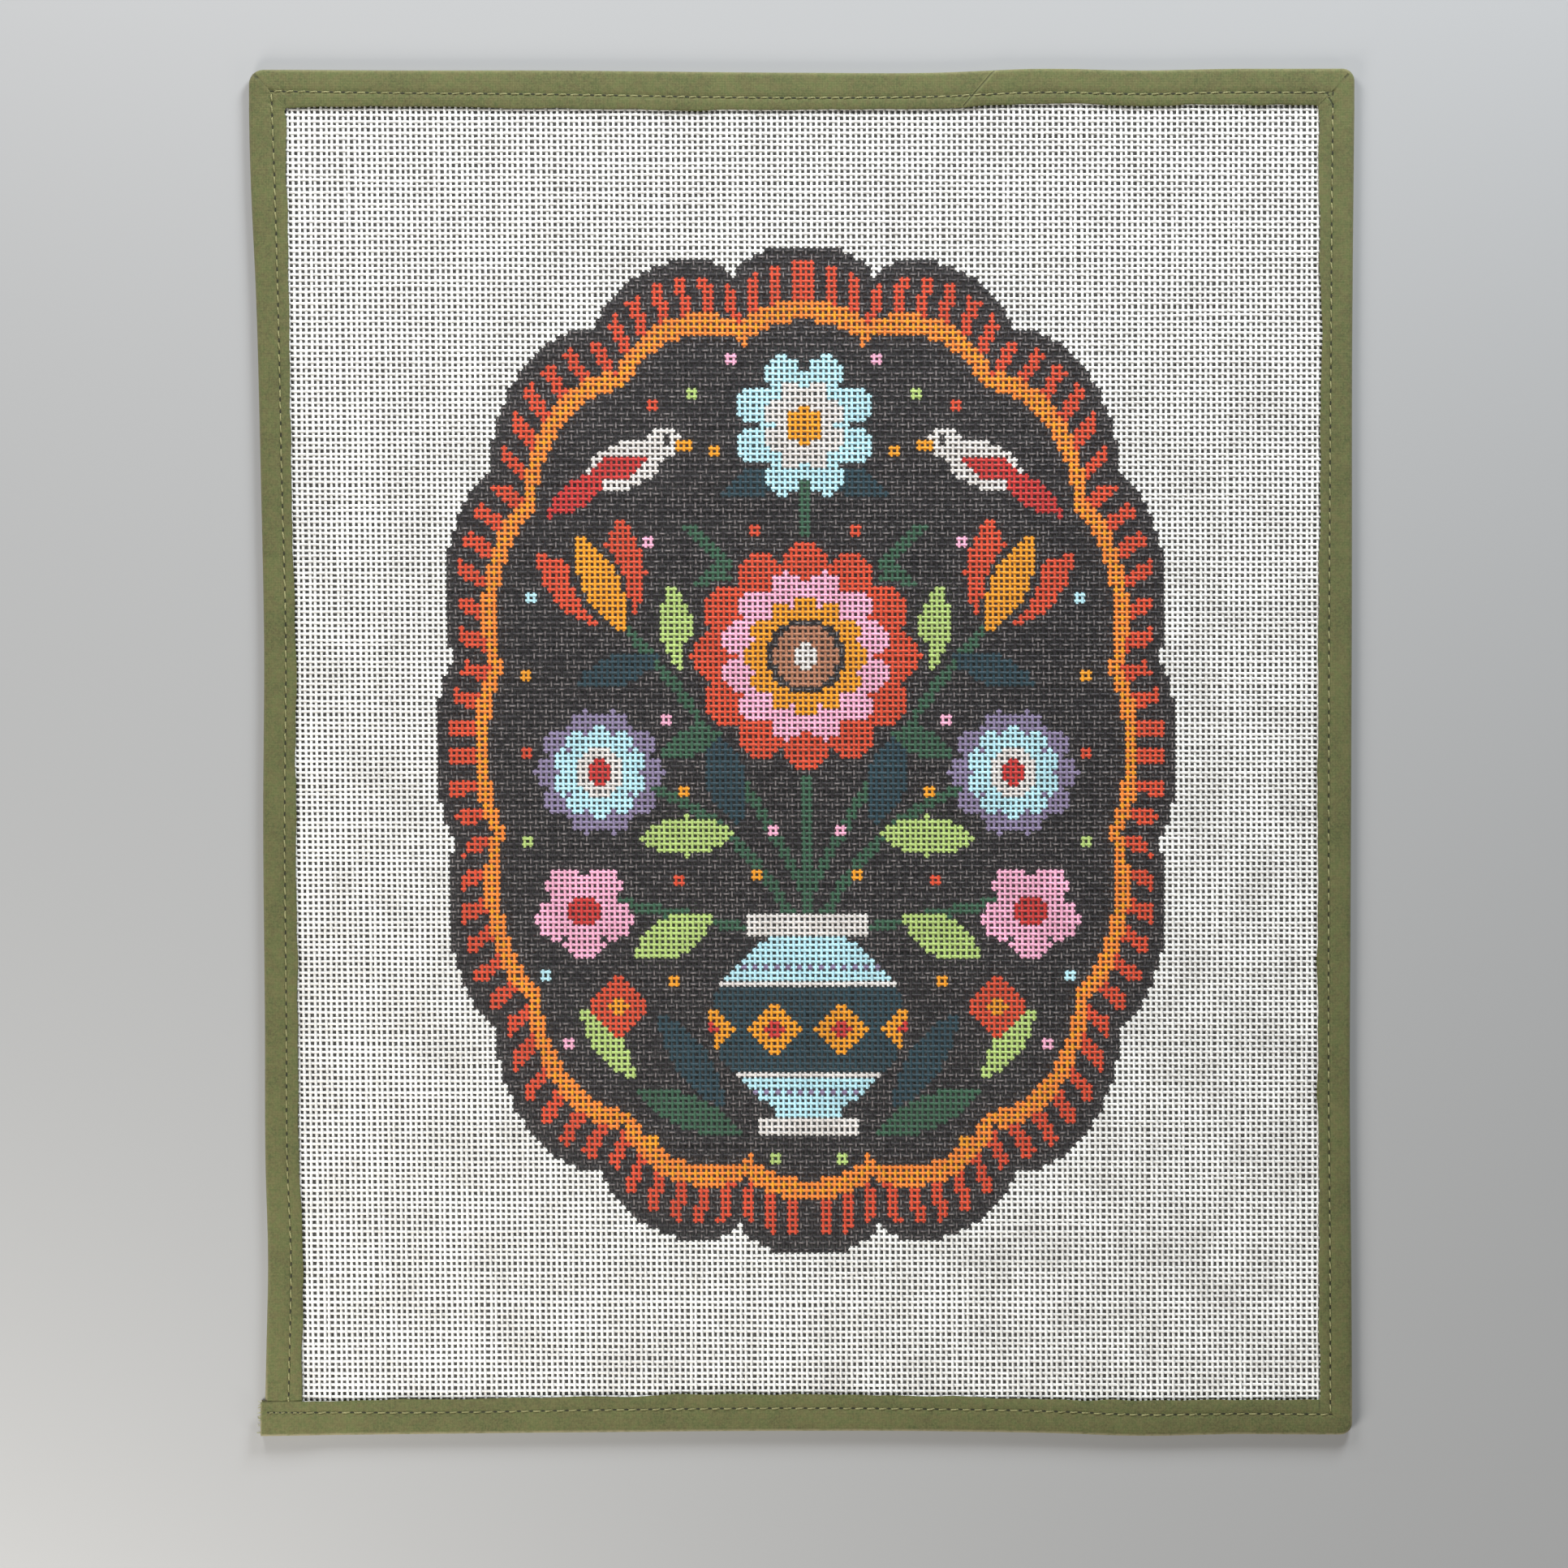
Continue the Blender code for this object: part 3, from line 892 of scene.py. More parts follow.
    # Small squares of four crossings fill what is left
    for centre_u, centre_v, colour in (
        (13, 42, "pink"), (20, 48, "lime"), (9, 72, "coral"), (16, 58, "yellow"),
        (27, 50, "coral"), (28, 74, "pink"), (50, 98, "yellow"), (50, 128, "lime"),
        (22, 119, "yellow"), (6, 126, "pink"), (9, 134, "yellow"), (24, 153, "yellow"),
        (50, 112, "coral"), (47, 152, "blue"), (23, 135, "coral"), (6, 184, "lime"),
        (43, 164, "pink"), (28, 181, "yellow"), (25, 106, "pink"), (49, 84, "blue"),
    ):
        paint((np.abs(u - centre_u) <= 1) & (np.abs(v - centre_v - 0.5) <= 1), colour)
    return pot


chart = paint_chart()
print(f"chart: {int((chart > 0).sum())} painted crossings")

# %% [markdown]
# ## The canvas
# Plain-woven cotton mono canvas, 13 threads to the inch. A flat sheet with a picture of holes
# would look wrong up close and at the back, so each thread is its own tube, going over and
# under the others. A tube has four sides and one ring at each crossing, which smooth shading
# rounds off, because there are more than four hundred threads and forty thousand crossings.
# The threads run on for four more meshes under the tape.

# %%
MARGIN = 4
CANVAS_MIDDLE = 1.6
LEFT_THREAD = (-178.1, -172.4)
RIGHT_THREAD = 178.5
TOP_THREAD = 222.3
BOTTOM_THREAD = -222.8
ROW_CROWDING = 0.0055
THREAD_WIDTH = 0.85
THREAD_HEIGHT = 0.48
WEAVE_RISE = 0.13
SAG = 0.12
SAG_EDGE = (176, 221)
SAG_FADE = 30


def crossings():
    """X and Y of every crossing, as grids of row and column.

    The left edge leans, the rows are a little wider apart near the top and bottom than in
    the middle, and each thread wanders on its own.
    """
    rng = np.random.default_rng(7)
    column = np.arange(-MARGIN, VISIBLE_COLUMNS + MARGIN) / (VISIBLE_COLUMNS - 1)
    row = np.arange(-MARGIN, VISIBLE_ROWS + MARGIN) / (VISIBLE_ROWS - 1)
    y = TOP_THREAD - (TOP_THREAD - BOTTOM_THREAD) * (
        row + ROW_CROWDING * np.sin(2 * np.pi * row))
    left = LEFT_THREAD[0] + (LEFT_THREAD[1] - LEFT_THREAD[0]) * row
    grid_x = left[:, None] + (RIGHT_THREAD - left)[:, None] * column
    grid_y = np.broadcast_to(y[:, None], grid_x.shape).copy()
    shape = grid_x.shape
    grid_x += 0.09 * wander(rng, shape, 28) + 0.016 * wander(rng, shape, 3)
    grid_y += (0.09 * wander(rng, shape[::-1], 28) + 0.016 * wander(rng, shape[::-1], 3)).T
    return grid_x, grid_y


def sag_at(x, y):
    """Height of the stretched canvas over its own middle plane: a few shallow waves that
    fade out towards the tape."""
    waves = (np.sin(x / 47 + 0.6 * np.sin(y / 61)) + np.sin(y / 58 + 1.3)
             + 0.7 * np.sin((x + y) / 39 + 2.1))
    inside = (np.clip((SAG_EDGE[0] - np.abs(x)) / SAG_FADE, 0, 1)
              * np.clip((SAG_EDGE[1] - np.abs(y)) / SAG_FADE, 0, 1))
    return SAG * waves / 2.7 * inside


grid_x, grid_y = crossings()
padded_chart = np.pad(chart, MARGIN)
row_number, column_number = np.indices(grid_x.shape)
warp_up = (row_number + column_number) % 2 == 0


def build_threads(name, seed, columns=None, rows=None):
    """Mesh of some whole threads: warps of the given columns, or wefts of the given rows.

    A thread's ring at a crossing stands up or down by the weave's rise. Each segment of a
    thread carries the paint of the crossing behind it and of the one ahead.
    """
    if columns is not None:
        x, y, up, paint = (grid[:, columns].T for grid in (grid_x, grid_y, warp_up, padded_chart))
        sideways = np.array((1.0, 0.0))
    else:
        x, y, up, paint = (grid[rows, :] for grid in (grid_x, grid_y, ~warp_up, padded_chart))
        sideways = np.array((0.0, 1.0))
    rng = np.random.default_rng(seed)

    def with_stubs(grid, half_step):
        first = grid[:, :1] + (grid[:, :1] - grid[:, 1:2]) * half_step
        last = grid[:, -1:] + (grid[:, -1:] - grid[:, -2:-1]) * half_step
        return np.concatenate((first, grid, last), 1)

    x, y = with_stubs(x, 0.5), with_stubs(y, 0.5)
    rise = with_stubs(np.where(up, 1.0, -1.0), 0.0)
    paint = with_stubs(paint, 0)
    threads, rings = x.shape
    width = THREAD_WIDTH * (1 + 0.03 * rise + 0.035 * wander(rng, (rings, threads), 3).T)
    height = THREAD_HEIGHT * (1 + 0.04 * wander(rng, (rings, threads), 3).T)
    width *= 1 + 0.03 * rng.normal(size=(threads, 1))
    middle = WEAVE_RISE * rise
    aside = width[..., None] / 2 * np.array((1, -1, -1, 1))
    level = middle[..., None] + height[..., None] / 2 * np.array((1, 1, -1, -1))
    points = np.empty((threads, rings, 4, 3))
    points[..., 0] = x[..., None] + aside * sideways[0]
    points[..., 1] = y[..., None] + aside * sideways[1]
    points[..., 2] = CANVAS_MIDDLE + sag_at(x, y)[..., None] + level
    quads, ends = tube_faces(threads, rings, 4)
    if columns is None:
        quads, ends = quads[:, ::-1], ends[:, ::-1]
    mesh = new_mesh(name, points.reshape(-1, 3), quads, ends)

    add_values(mesh, "raised", "POINT", level / (WEAVE_RISE + THREAD_HEIGHT / 2))
    here = np.repeat(paint[:, :-1].ravel(), 4)
    ahead = np.repeat(paint[:, 1:].ravel(), 4)
    none = np.zeros(len(ends))
    add_values(mesh, "paint_here", "FACE", np.concatenate((here, none)))
    add_values(mesh, "paint_ahead", "FACE", np.concatenate((ahead, none)))
    ring, round_share = tube_corners(threads, rings, 4)
    if columns is None:
        ring = ring.reshape(-1, 4)[:, ::-1].ravel()
        round_share = round_share.reshape(-1, 4)[:, ::-1].ravel()
    spare = np.zeros(ends.size)
    add_map(mesh, "thread", np.concatenate((ring, spare)), np.concatenate((round_share, spare)))

    # Map for baking: the canvas seen from above, its thread ends leaning so they have width
    corners = corner_points(mesh)
    lowest, highest = corners[:, :2].min(0) - 1, corners[:, :2].max(0) + 1
    lean = np.zeros((len(corners), 2))
    lean[-ends.size:] = np.abs(sideways[::-1]) * (
        corners[-ends.size:, 2:] - corners[-ends.size:, 2:].mean())
    place = (corners[:, :2] + lean - lowest) / (highest - lowest)
    add_map(mesh, "OFBake", place[:, 0], place[:, 1])
    return mesh


half_columns = grid_x.shape[1] // 2
half_rows = grid_x.shape[0] // 2
thread_meshes = (
    build_threads("canvas_warp_left", 31, columns=slice(0, half_columns)),
    build_threads("canvas_warp_right", 32, columns=slice(half_columns, None)),
    build_threads("canvas_weft_upper", 33, rows=slice(0, half_rows)),
    build_threads("canvas_weft_lower", 34, rows=slice(half_rows, None)),
)

# %% [markdown]
# ## The stitching
# A machine lockstitch goes through the tape and the canvas. Each stitch is a short bowed
# length of thread that dips into a needle hole at both ends, so it is a small tube with nine
# rings, and all the tubes of one face are one mesh. The back has the same stitches, lying
# in the lower wall's groove. The bottom run was sewn over again where it ends, at the left.

# %%
STITCH_RINGS = 9
STITCH_SIDES = 6
STITCH_COVER = 0.70
THREAD_THICK = 0.52
STITCH_SKEW = 0.20
LOWEST_STITCH = 0.16


def stitch_ends():
    """Both needle holes of every stitch, as points on the panel."""
    starts, finishes = [], []
    for side in SIDES:
        axis = SIDES[side][0]
        holes, _ = needle_holes(side)
        if side == "bottom":
            again = holes[holes < cut_x + DOUBLE_SEWN]
            holes = np.sort(np.concatenate((holes, (again[:-1] + again[1:]) / 2)))[::-1]
        places = np.empty((len(holes), 2))
        places[:, 1 - axis] = holes
        places[:, axis] = across(side, "stitch", holes)
        starts.append(places[:-1])
        finishes.append(places[1:])
    return np.concatenate(starts), np.concatenate(finishes)


def build_stitches(name, line, upward):
    """Mesh of one face's stitches, lying along the line where the rings cross the stitching.

    A stitch bows out of the face in its middle and dives into it at its ends.
    """
    rng = np.random.default_rng(19)
    starts, finishes = stitch_ends()
    share = np.linspace(0.5 - STITCH_COVER / 2, 0.5 + STITCH_COVER / 2, STITCH_RINGS)
    run = finishes - starts
    length = np.linalg.norm(run, axis=1, keepdims=True)
    along = run / length
    aside = np.stack((-along[:, 1], along[:, 0]), 1)
    skew = 0.08 * rng.normal(size=(len(starts), 1)) + STITCH_SKEW
    centre = starts[:, None] + run[:, None] * share[None, :, None]
    centre = centre + aside[:, None] * (skew * (share - 0.5) * 2)[..., None]
    gaps = np.linalg.norm(centre.reshape(-1, 1, 2) - line[None, :, :2], axis=2)
    level = line[gaps.argmin(1), 2].reshape(centre.shape[:2])
    level = level.mean(1, keepdims=True) * 0.7 + level * 0.3
    bow = np.sin(np.pi * np.linspace(0, 1, STITCH_RINGS))
    proud = 0.10 + 0.13 * bow - 0.42 * (1 - bow) ** 3
    proud = proud * (1 + 0.12 * rng.normal(size=(len(starts), 1)))
    height = level + upward * proud
    angles = np.linspace(0, 2 * np.pi, STITCH_SIDES, endpoint=False)
    thick = THREAD_THICK / 2 * (0.72 + 0.28 * bow)
    if upward < 0:
        height = np.maximum(height, LOWEST_STITCH)
    points = np.empty((*height.shape, STITCH_SIDES, 3))
    points[..., :2] = (centre[:, :, None] + aside[:, None, None]
                       * (thick[None, :, None] * np.cos(angles))[..., None])
    points[..., 2] = height[..., None] + 0.72 * thick[None, :, None] * np.sin(angles)
    stitches = len(starts)
    quads, ends = tube_faces(stitches, STITCH_RINGS, STITCH_SIDES)
    mesh = new_mesh(name, points.reshape(-1, 3), quads, ends)
    ring, round_share = tube_corners(stitches, STITCH_RINGS, STITCH_SIDES)
    number = np.repeat(np.arange(stitches), (STITCH_RINGS - 1) * STITCH_SIDES * 4)
    cells = math.ceil(math.sqrt(stitches))
    u = (number % cells + 0.1 + 0.75 * ring / (STITCH_RINGS - 1)) / cells
    v = (number // cells + 0.1 + 0.8 * round_share) / cells
    end_number = np.tile(np.arange(stitches), 2).repeat(STITCH_SIDES)
    turn = np.tile(angles, 2 * stitches)
    u = np.concatenate((u, (end_number % cells + 0.93 + 0.03 * np.cos(turn)) / cells))
    v = np.concatenate((v, (end_number // cells + 0.5 + 0.03 * np.sin(turn)) / cells))
    add_map(mesh, "OFBake", u, v)
    spare = np.zeros(ends.size)
    twist_u = np.concatenate((ring / (STITCH_RINGS - 1), spare))
    add_map(mesh, "thread", twist_u, np.concatenate((round_share, spare)))
    return mesh


front_mesh = build_stitches("stitching_front", front_line, 1.0)
back_mesh = build_stitches("stitching_back", back_line, -1.0)

# %% [markdown]
# ## The cut end
# The tape's last end is simply cut across, and a few of its yarns have come loose there.
# They are fine tapered tubes that leave the cut and bend at random.

# %%
CUT_SPAN = (-235.6, -224.2)
UNDER_LAYER = (0.15, 0.7)
TOP_LAYER = (3.05, 3.7)


def build_frayed():
    """Mesh of the loose yarns at the tape's cut end."""
    rng = np.random.default_rng(5)
    yarns, rings, sides = 26, 6, 5
    root_y = rng.uniform(*CUT_SPAN, yarns)
    low_layer = rng.random(yarns) < 0.35
    root_z = np.where(low_layer, rng.uniform(*UNDER_LAYER, yarns), rng.uniform(*TOP_LAYER, yarns))
    length = rng.uniform(0.5, 1.9, yarns)
    share = np.linspace(0, 1, rings)
    path = np.empty((yarns, rings, 3))
    path[..., 0] = cut_x + 0.25 - length[:, None] * share
    path[..., 1] = root_y[:, None] + rng.normal(0, 0.45, (yarns, 1)) * share**1.6
    path[..., 2] = root_z[:, None] + rng.normal(-0.1, 0.3, (yarns, 1)) * share**2
    path[..., 2] = np.clip(path[..., 2], 0.1, None)
    thick = (0.12 - 0.06 * share)[None, :, None]
    angles = np.linspace(0, 2 * np.pi, sides, endpoint=False)
    points = path[:, :, None, :].repeat(sides, 2)
    points[..., 1] += thick * np.cos(angles)
    points[..., 2] += thick * np.sin(angles)
    quads, ends = tube_faces(yarns, rings, sides)
    return new_mesh("cut_end_threads", points.reshape(-1, 3), quads, ends)


frayed_mesh = build_frayed()

# %% [markdown]
# ## Materials
# The canvas is white sized cotton, and the paint lies on its threads: every segment changes
# colour half way to the next crossing, at a slightly ragged line, and on the tops of the raised
# floats the dark paint shows grey, partly thin paint and partly a painted highlight. Soft
# random patches darken the canvas a little, partly uneven tone and partly painted shade. At the
# back the paint has only partly soaked through. The tape is olive cotton with a fine weave on
# the bias, mottled, with painted shade between its yarns. Its fold is paler, partly rubbed and
# partly a painted highlight. The needle holes and the creases of the mitres are darkened as
# painted shade, and the join's line is dark, partly the joint itself and partly painted shade,
# with a painted highlight beside it.

# %%
POT_STEPS = 16


def make_pots():
    """Group that gives the colour of a numbered pot of paint."""
    group, build, given, result = new_group("paint pots", [("Number", "float")],
                                            [("Color", "colour")])
    ramp = build.add("ShaderNodeValToRGB")
    ramp.color_ramp.interpolation = "CONSTANT"
    stops = ramp.color_ramp.elements
    for number, colour in enumerate(PAINTS.values()):
        stop = stops[number] if number < 2 else stops.new(number / POT_STEPS)
        stop.position = number / POT_STEPS
        stop.color = linear(*colour)
    build.feed(ramp.inputs[0], build.sum("DIVIDE", build.sum("ADD", given[0], 0.5),
                                           float(POT_STEPS)))
    build.feed(result[0], ramp.outputs[0])
    return group


def make_mottle():
    """Group that gives a soft value about a half, from broad and fine noise."""
    group, build, given, result = new_group(
        "soft mottle", [("Place", "vector"), ("Broad", "float"), ("Fine", "float")],
        [("Value", "float")])
    broad = build.noise(given["Place"], given["Broad"], 3.0)
    fine = build.noise(given["Place"], given["Fine"], 2.0)
    build.feed(result[0], build.sum("ADD", build.sum("MULTIPLY", broad, 0.6),
                                    build.sum("MULTIPLY", fine, 0.4)))
    return group


def make_weave():
    """Group for plain-woven cloth whose yarns run at 45 degrees to X and Y: the height of
    the yarns, from a product of two waves."""
    group, build, given, result = new_group(
        "bias weave", [("Place", "vector"), ("Repeat", "float")], [("Height", "float")])
    turned = build.add("ShaderNodeVectorRotate", rotation_type="Z_AXIS")
    turned.inputs["Angle"].default_value = math.radians(45)
    build.feed(turned.inputs["Vector"], given["Place"])
    parts = build.split(turned.outputs[0])
    waves = []
    for axis in ("X", "Y"):
        turns = build.sum("DIVIDE", parts[axis], given["Repeat"])
        waves.append(build.sum("COSINE", build.sum("MULTIPLY", turns, 2 * math.pi)))
    product = build.sum("MULTIPLY", waves[0], waves[1])
    build.feed(result[0], build.sum("MULTIPLY_ADD", product, 0.5, 0.5))
    return group


def make_line_distance():
    """Group that gives the distance, seen from above, from a straight line between two
    points."""
    group, build, given, result = new_group(
        "distance from line", [("Place", "vector"), ("Start", "vector"), ("End", "vector")],
        [("Distance", "float")])
    flat = build.vector("MULTIPLY", given["Place"], (1.0, 1.0, 0.0))
    offset = build.vector("SUBTRACT", flat, given["Start"])
    run = build.vector("SUBTRACT", given["End"], given["Start"])
    share = build.sum("DIVIDE", build.vector("DOT_PRODUCT", offset, run),
                      build.vector("DOT_PRODUCT", run, run), clamp=True)
    scaled = build.add("ShaderNodeVectorMath", operation="SCALE")
    build.feed(scaled.inputs[0], run)
    build.feed(scaled.inputs["Scale"], share)
    build.feed(result[0], build.vector("LENGTH", build.vector("SUBTRACT", offset,
                                                              scaled.outputs[0])))
    return group


PAINT_POTS = make_pots()
MOTTLE = make_mottle()
WEAVE = make_weave()
LINE_DISTANCE = make_line_distance()


def canvas_material():
    """White sized cotton threads with paint on them."""
    material, build, shader, place = new_material("painted canvas")
    parts = build.split(build.add("ShaderNodeUVMap", uv_map="thread").outputs[0])
    along, round_share = parts["X"], parts["Y"]
    ragged = build.noise(place, 1400.0)
    middle = build.sum("ADD", build.sum("FRACT", along),
                       build.sum("MULTIPLY", build.sum("SUBTRACT", ragged, 0.5), 0.5))
    past = build.sum("GREATER_THAN", middle, 0.5)
    here, ahead = build.attribute("paint_here"), build.attribute("paint_ahead")
    number = build.sum("ADD", here, build.sum("MULTIPLY", build.sum("SUBTRACT", ahead, here),
                                              past))
    painted = build.sum("GREATER_THAN", number, 0.5)
    colour = build.group(PAINT_POTS, Number=number).outputs[0]
    dark = build.sum("COMPARE", number, 1.0, 0.4)
    raised = build.attribute("raised")

    # On the tops of the raised floats the dark paint turns grey: partly thin paint, partly a
    # painted highlight
    patchy = build.group(MOTTLE, Place=place, Broad=55.0, Fine=300.0).outputs[0]
    streak = build.ramp(build.noise(place, 380.0, 1.0), 0.35, 0.62)
    from_ridge = build.sum("ABSOLUTE", build.sum("SUBTRACT", round_share, 0.125))
    ridge = build.sum("MULTIPLY", build.ramp(raised, 0.55, 0.9),
                      build.ramp(from_ridge, 0.10, 0.02))
    thin_paint_and_highlight = build.sum("MULTIPLY", ridge, streak)
    grey = build.tint(colour, thin_paint_and_highlight, 0.85, (148, 139, 136))
    colour = build.mix(dark, colour, grey)
    # Soft random patches darken the whole canvas a little: partly uneven tone, partly painted shade
    shade = build.mix(build.ramp(patchy, 0.3, 0.7), linear(225, 223, 222), linear(255, 255, 255))
    colour = build.mix(1.0, colour, shade, "MULTIPLY")

    # At the back the cotton shows through the paint
    back = build.ramp(raised, -0.1, -0.8)
    soaked = build.ramp(build.noise(place, 300.0, 3.0), 0.35, 0.65)
    bare_share = build.sum("MULTIPLY", build.sum("MULTIPLY", back, painted),
                           build.sum("MULTIPLY_ADD", soaked, 0.5, 0.25))
    colour = build.mix(bare_share, colour, linear(*PAINTS["bare"]))
    build.feed(shader.inputs["Base Color"], colour)
    build.feed(shader.inputs["Roughness"], build.sum("MULTIPLY_ADD", painted, -0.22, 0.82))
    shader.inputs["Sheen Weight"].default_value = 0.12

    # Two plies twisted together
    turns = build.sum("MULTIPLY_ADD", along, 1.5, round_share)
    twist = build.sum("COSINE", build.sum("MULTIPLY", turns, 4 * math.pi))
    fibre = build.noise(place, 2600.0, 2.0)
    bump = build.bump(build.sum("MULTIPLY_ADD", fibre, 0.5, twist), 0.05 * MM, 0.3)
    build.feed(shader.inputs["Normal"], bump.outputs[0])
    return material


# Creases of the corners: a corner's line, then two places from it as far along the mitre and across
# it, then half the width and the darkness of the painted shade in the crease
CREASES = (
    (("left", "top"), "fold", (2.9, 0.0), (4.4, 0.0), 0.50, 0.60),
    (("left", "top"), "fold", (4.2, 0.0), (7.4, 0.0), 0.60, 0.22),
    (("left", "top"), "stitch", (-2.4, 0.0), (0.0, 0.0), 0.30, 0.10),
    (("top", "right"), "fold", (3.5, 0.0), (4.9, 0.0), 0.42, 0.55),
    (("top", "right"), "fold", (4.9, 0.0), (8.6, 0.0), 0.45, 0.10),
    (("right", "bottom"), "fold", (3.0, 0.0), (8.0, 0.0), 0.60, 0.07),
)

# Short creases that run straight up or down from a corner of the lip, and the slanting one under
# the stitch that cuts a corner, each darkened as painted shade
SHORT_CREASES = (
    (("left", "top"), "lip", (0.0, 0.9), (0.1, 3.0), 0.22, 0.30),
    (("right", "bottom"), "lip", (-0.1, -0.3), (0.0, -3.1), 0.24, 0.45),
    (("top", "right"), "stitch", (-1.4, -1.9), (0.1, -4.2), 0.30, 0.80),
    (("top", "right"), "stitch", (-2.2, -0.2), (-1.5, -1.1), 0.30, 0.70),
)


def mitre_lines():
    """Creases of the corners, as (start, end, half width, darkness of the painted shade), in
    millimetres.
    """
    corners = {"fold": fold_corner, "stitch": stitch_corner, "lip": lip_corner}
    creases = []
    for pair, line, start, end, width, darkness in CREASES:
        run = lip_corner[pair] - fold_corner[pair]
        run /= np.linalg.norm(run)
        side = np.array((-run[1], run[0]))
        creases.append(tuple(corners[line][pair] + run * place[0] + side * place[1]
                             for place in (start, end)) + (width, darkness))
    for pair, line, start, end, width, darkness in SHORT_CREASES:
        creases.append(tuple(corners[line][pair] + np.array(place) for place in (start, end))
                       + (width, darkness))
    return creases


YARN_PAIR = 0.75 * MM
# How long and how wide the painted shade of a needle hole is
HOLE_SHADE_LENGTH = 0.80
HOLE_SHADE_WIDTH = 0.32


def tape_material():
    """Olive cotton tape."""
    material, build, shader, place = new_material("olive tape")
    mottle = build.group(MOTTLE, Place=place, Broad=60.0, Fine=420.0).outputs[0]
    height = build.group(WEAVE, Place=place, Repeat=YARN_PAIR).outputs[0]
    yarn = build.noise(place, 1500.0, 3.0)
    colour = build.mix(build.ramp(mottle, 0.32, 0.68), linear(78, 79, 42), linear(97, 98, 55))
    blotch = build.ramp(build.noise(place, 480.0, 3.0), 0.36, 0.64)
    hue = build.mix(blotch, (0.89, 1.045, 0.92, 1.0), (1.11, 0.975, 1.05, 1.0))
    colour = build.mix(1.0, colour, hue, "MULTIPLY")
    slub = build.ramp(build.noise(place, 950.0, 2.0), 0.42, 0.66)
    colour = build.tint(colour, slub, 0.34, (118, 119, 72))
    grain = build.ramp(yarn, 0.36, 0.66)
    colour = build.tint(colour, grain, 0.42, (119, 119, 70))
    # Darker where the weave lies low between the yarns: painted shade
    colour = build.tint(colour, build.sum("SUBTRACT", 1.0, height), 0.4, (60, 62, 32))

    # The outer fold is paler, most along the bottom, and so is the cut end: partly rubbed wear,
    # partly a painted highlight on the rolled edge
    parts = build.split(place)
    low = build.ramp(parts["Y"], -0.205, -0.228)
    wear_and_highlight = build.sum("MULTIPLY", build.ramp(build.noise(place, 500.0, 3.0), 0.15, 0.6),
                     build.sum("MULTIPLY_ADD", low, 0.55, 0.15))
    from_fold = build.attribute("from_fold")
    at_end = build.sum("MULTIPLY", build.ramp(parts["X"], (cut_x + 0.7) * MM,
                                              (cut_x + 0.1) * MM), low)
    edge = build.sum("MAXIMUM", build.ramp(from_fold, 1.35, 0.35), at_end)
    colour = build.tint(colour, edge, wear_and_highlight, (146, 136, 106))

    # Needle holes, drawn out along the stitching and darkened: painted shade in the holes
    phase = build.attribute("phase")
    from_hole = build.sum("MULTIPLY", build.sum("PINGPONG", phase, 0.5), PITCH)
    aside = build.attribute("from_stitch")
    wide = build.sum("POWER", build.sum("DIVIDE", from_hole, HOLE_SHADE_LENGTH), 2.0)
    narrow = build.sum("POWER", build.sum("ABSOLUTE", build.sum("DIVIDE", aside, HOLE_SHADE_WIDTH)), 2.0)
    hole = build.ramp(build.sum("ADD", wide, narrow), 1.25, 0.35)
    hole = build.sum("MULTIPLY", hole, build.ramp(build.attribute("past_end"), 0.6, 0.4))
    colour = build.tint(colour, hole, 0.90, (26, 27, 12))

    # Join and mitres: beside the join a paler band, a painted highlight on its ridge, and along it
    # a dark line, partly the joint itself and partly painted shade in its groove; and painted shade
    # in the creases of the mitres
    seam = build.group(LINE_DISTANCE, Place=place, Start=tuple(MM * c for c in (*SEAM_FOLD, 0.0)),
                       End=tuple(MM * c for c in (*SEAM_LIP, 0.0))).outputs[0]
    seam_highlight = build.ramp(seam, 0.0011, 0.0004)
    colour = build.tint(colour, seam_highlight, 0.30, (134, 134, 84))
    mark = build.ramp(seam, 0.00040, 0.0001)
    colour = build.tint(colour, mark, 0.42, (48, 50, 26))
    depth = build.sum("ADD", hole, mark)
    for start, end, width, darkness in mitre_lines():
        gap = build.group(LINE_DISTANCE, Place=place, Start=(*(start * MM), 0.0),
                          End=(*(end * MM), 0.0)).outputs[0]
        mark = build.ramp(gap, width * MM * 1.5, width * MM * 0.2)
        colour = build.tint(colour, mark, darkness, (48, 50, 28))
        depth = build.sum("ADD", depth, build.sum("MULTIPLY", mark, darkness))
    build.feed(shader.inputs["Base Color"], colour)
    shader.inputs["Roughness"].default_value = 0.88
    shader.inputs["Sheen Weight"].default_value = 0.08

    cloth = build.bump(build.sum("MULTIPLY_ADD", yarn, 0.6, height), 0.1 * MM, 0.7)
    sunk = build.bump(depth, 0.4 * MM, 0.8, invert=True)
    build.feed(sunk.inputs["Normal"], cloth.outputs[0])
    build.feed(shader.inputs["Normal"], sunk.outputs[0])
    return material


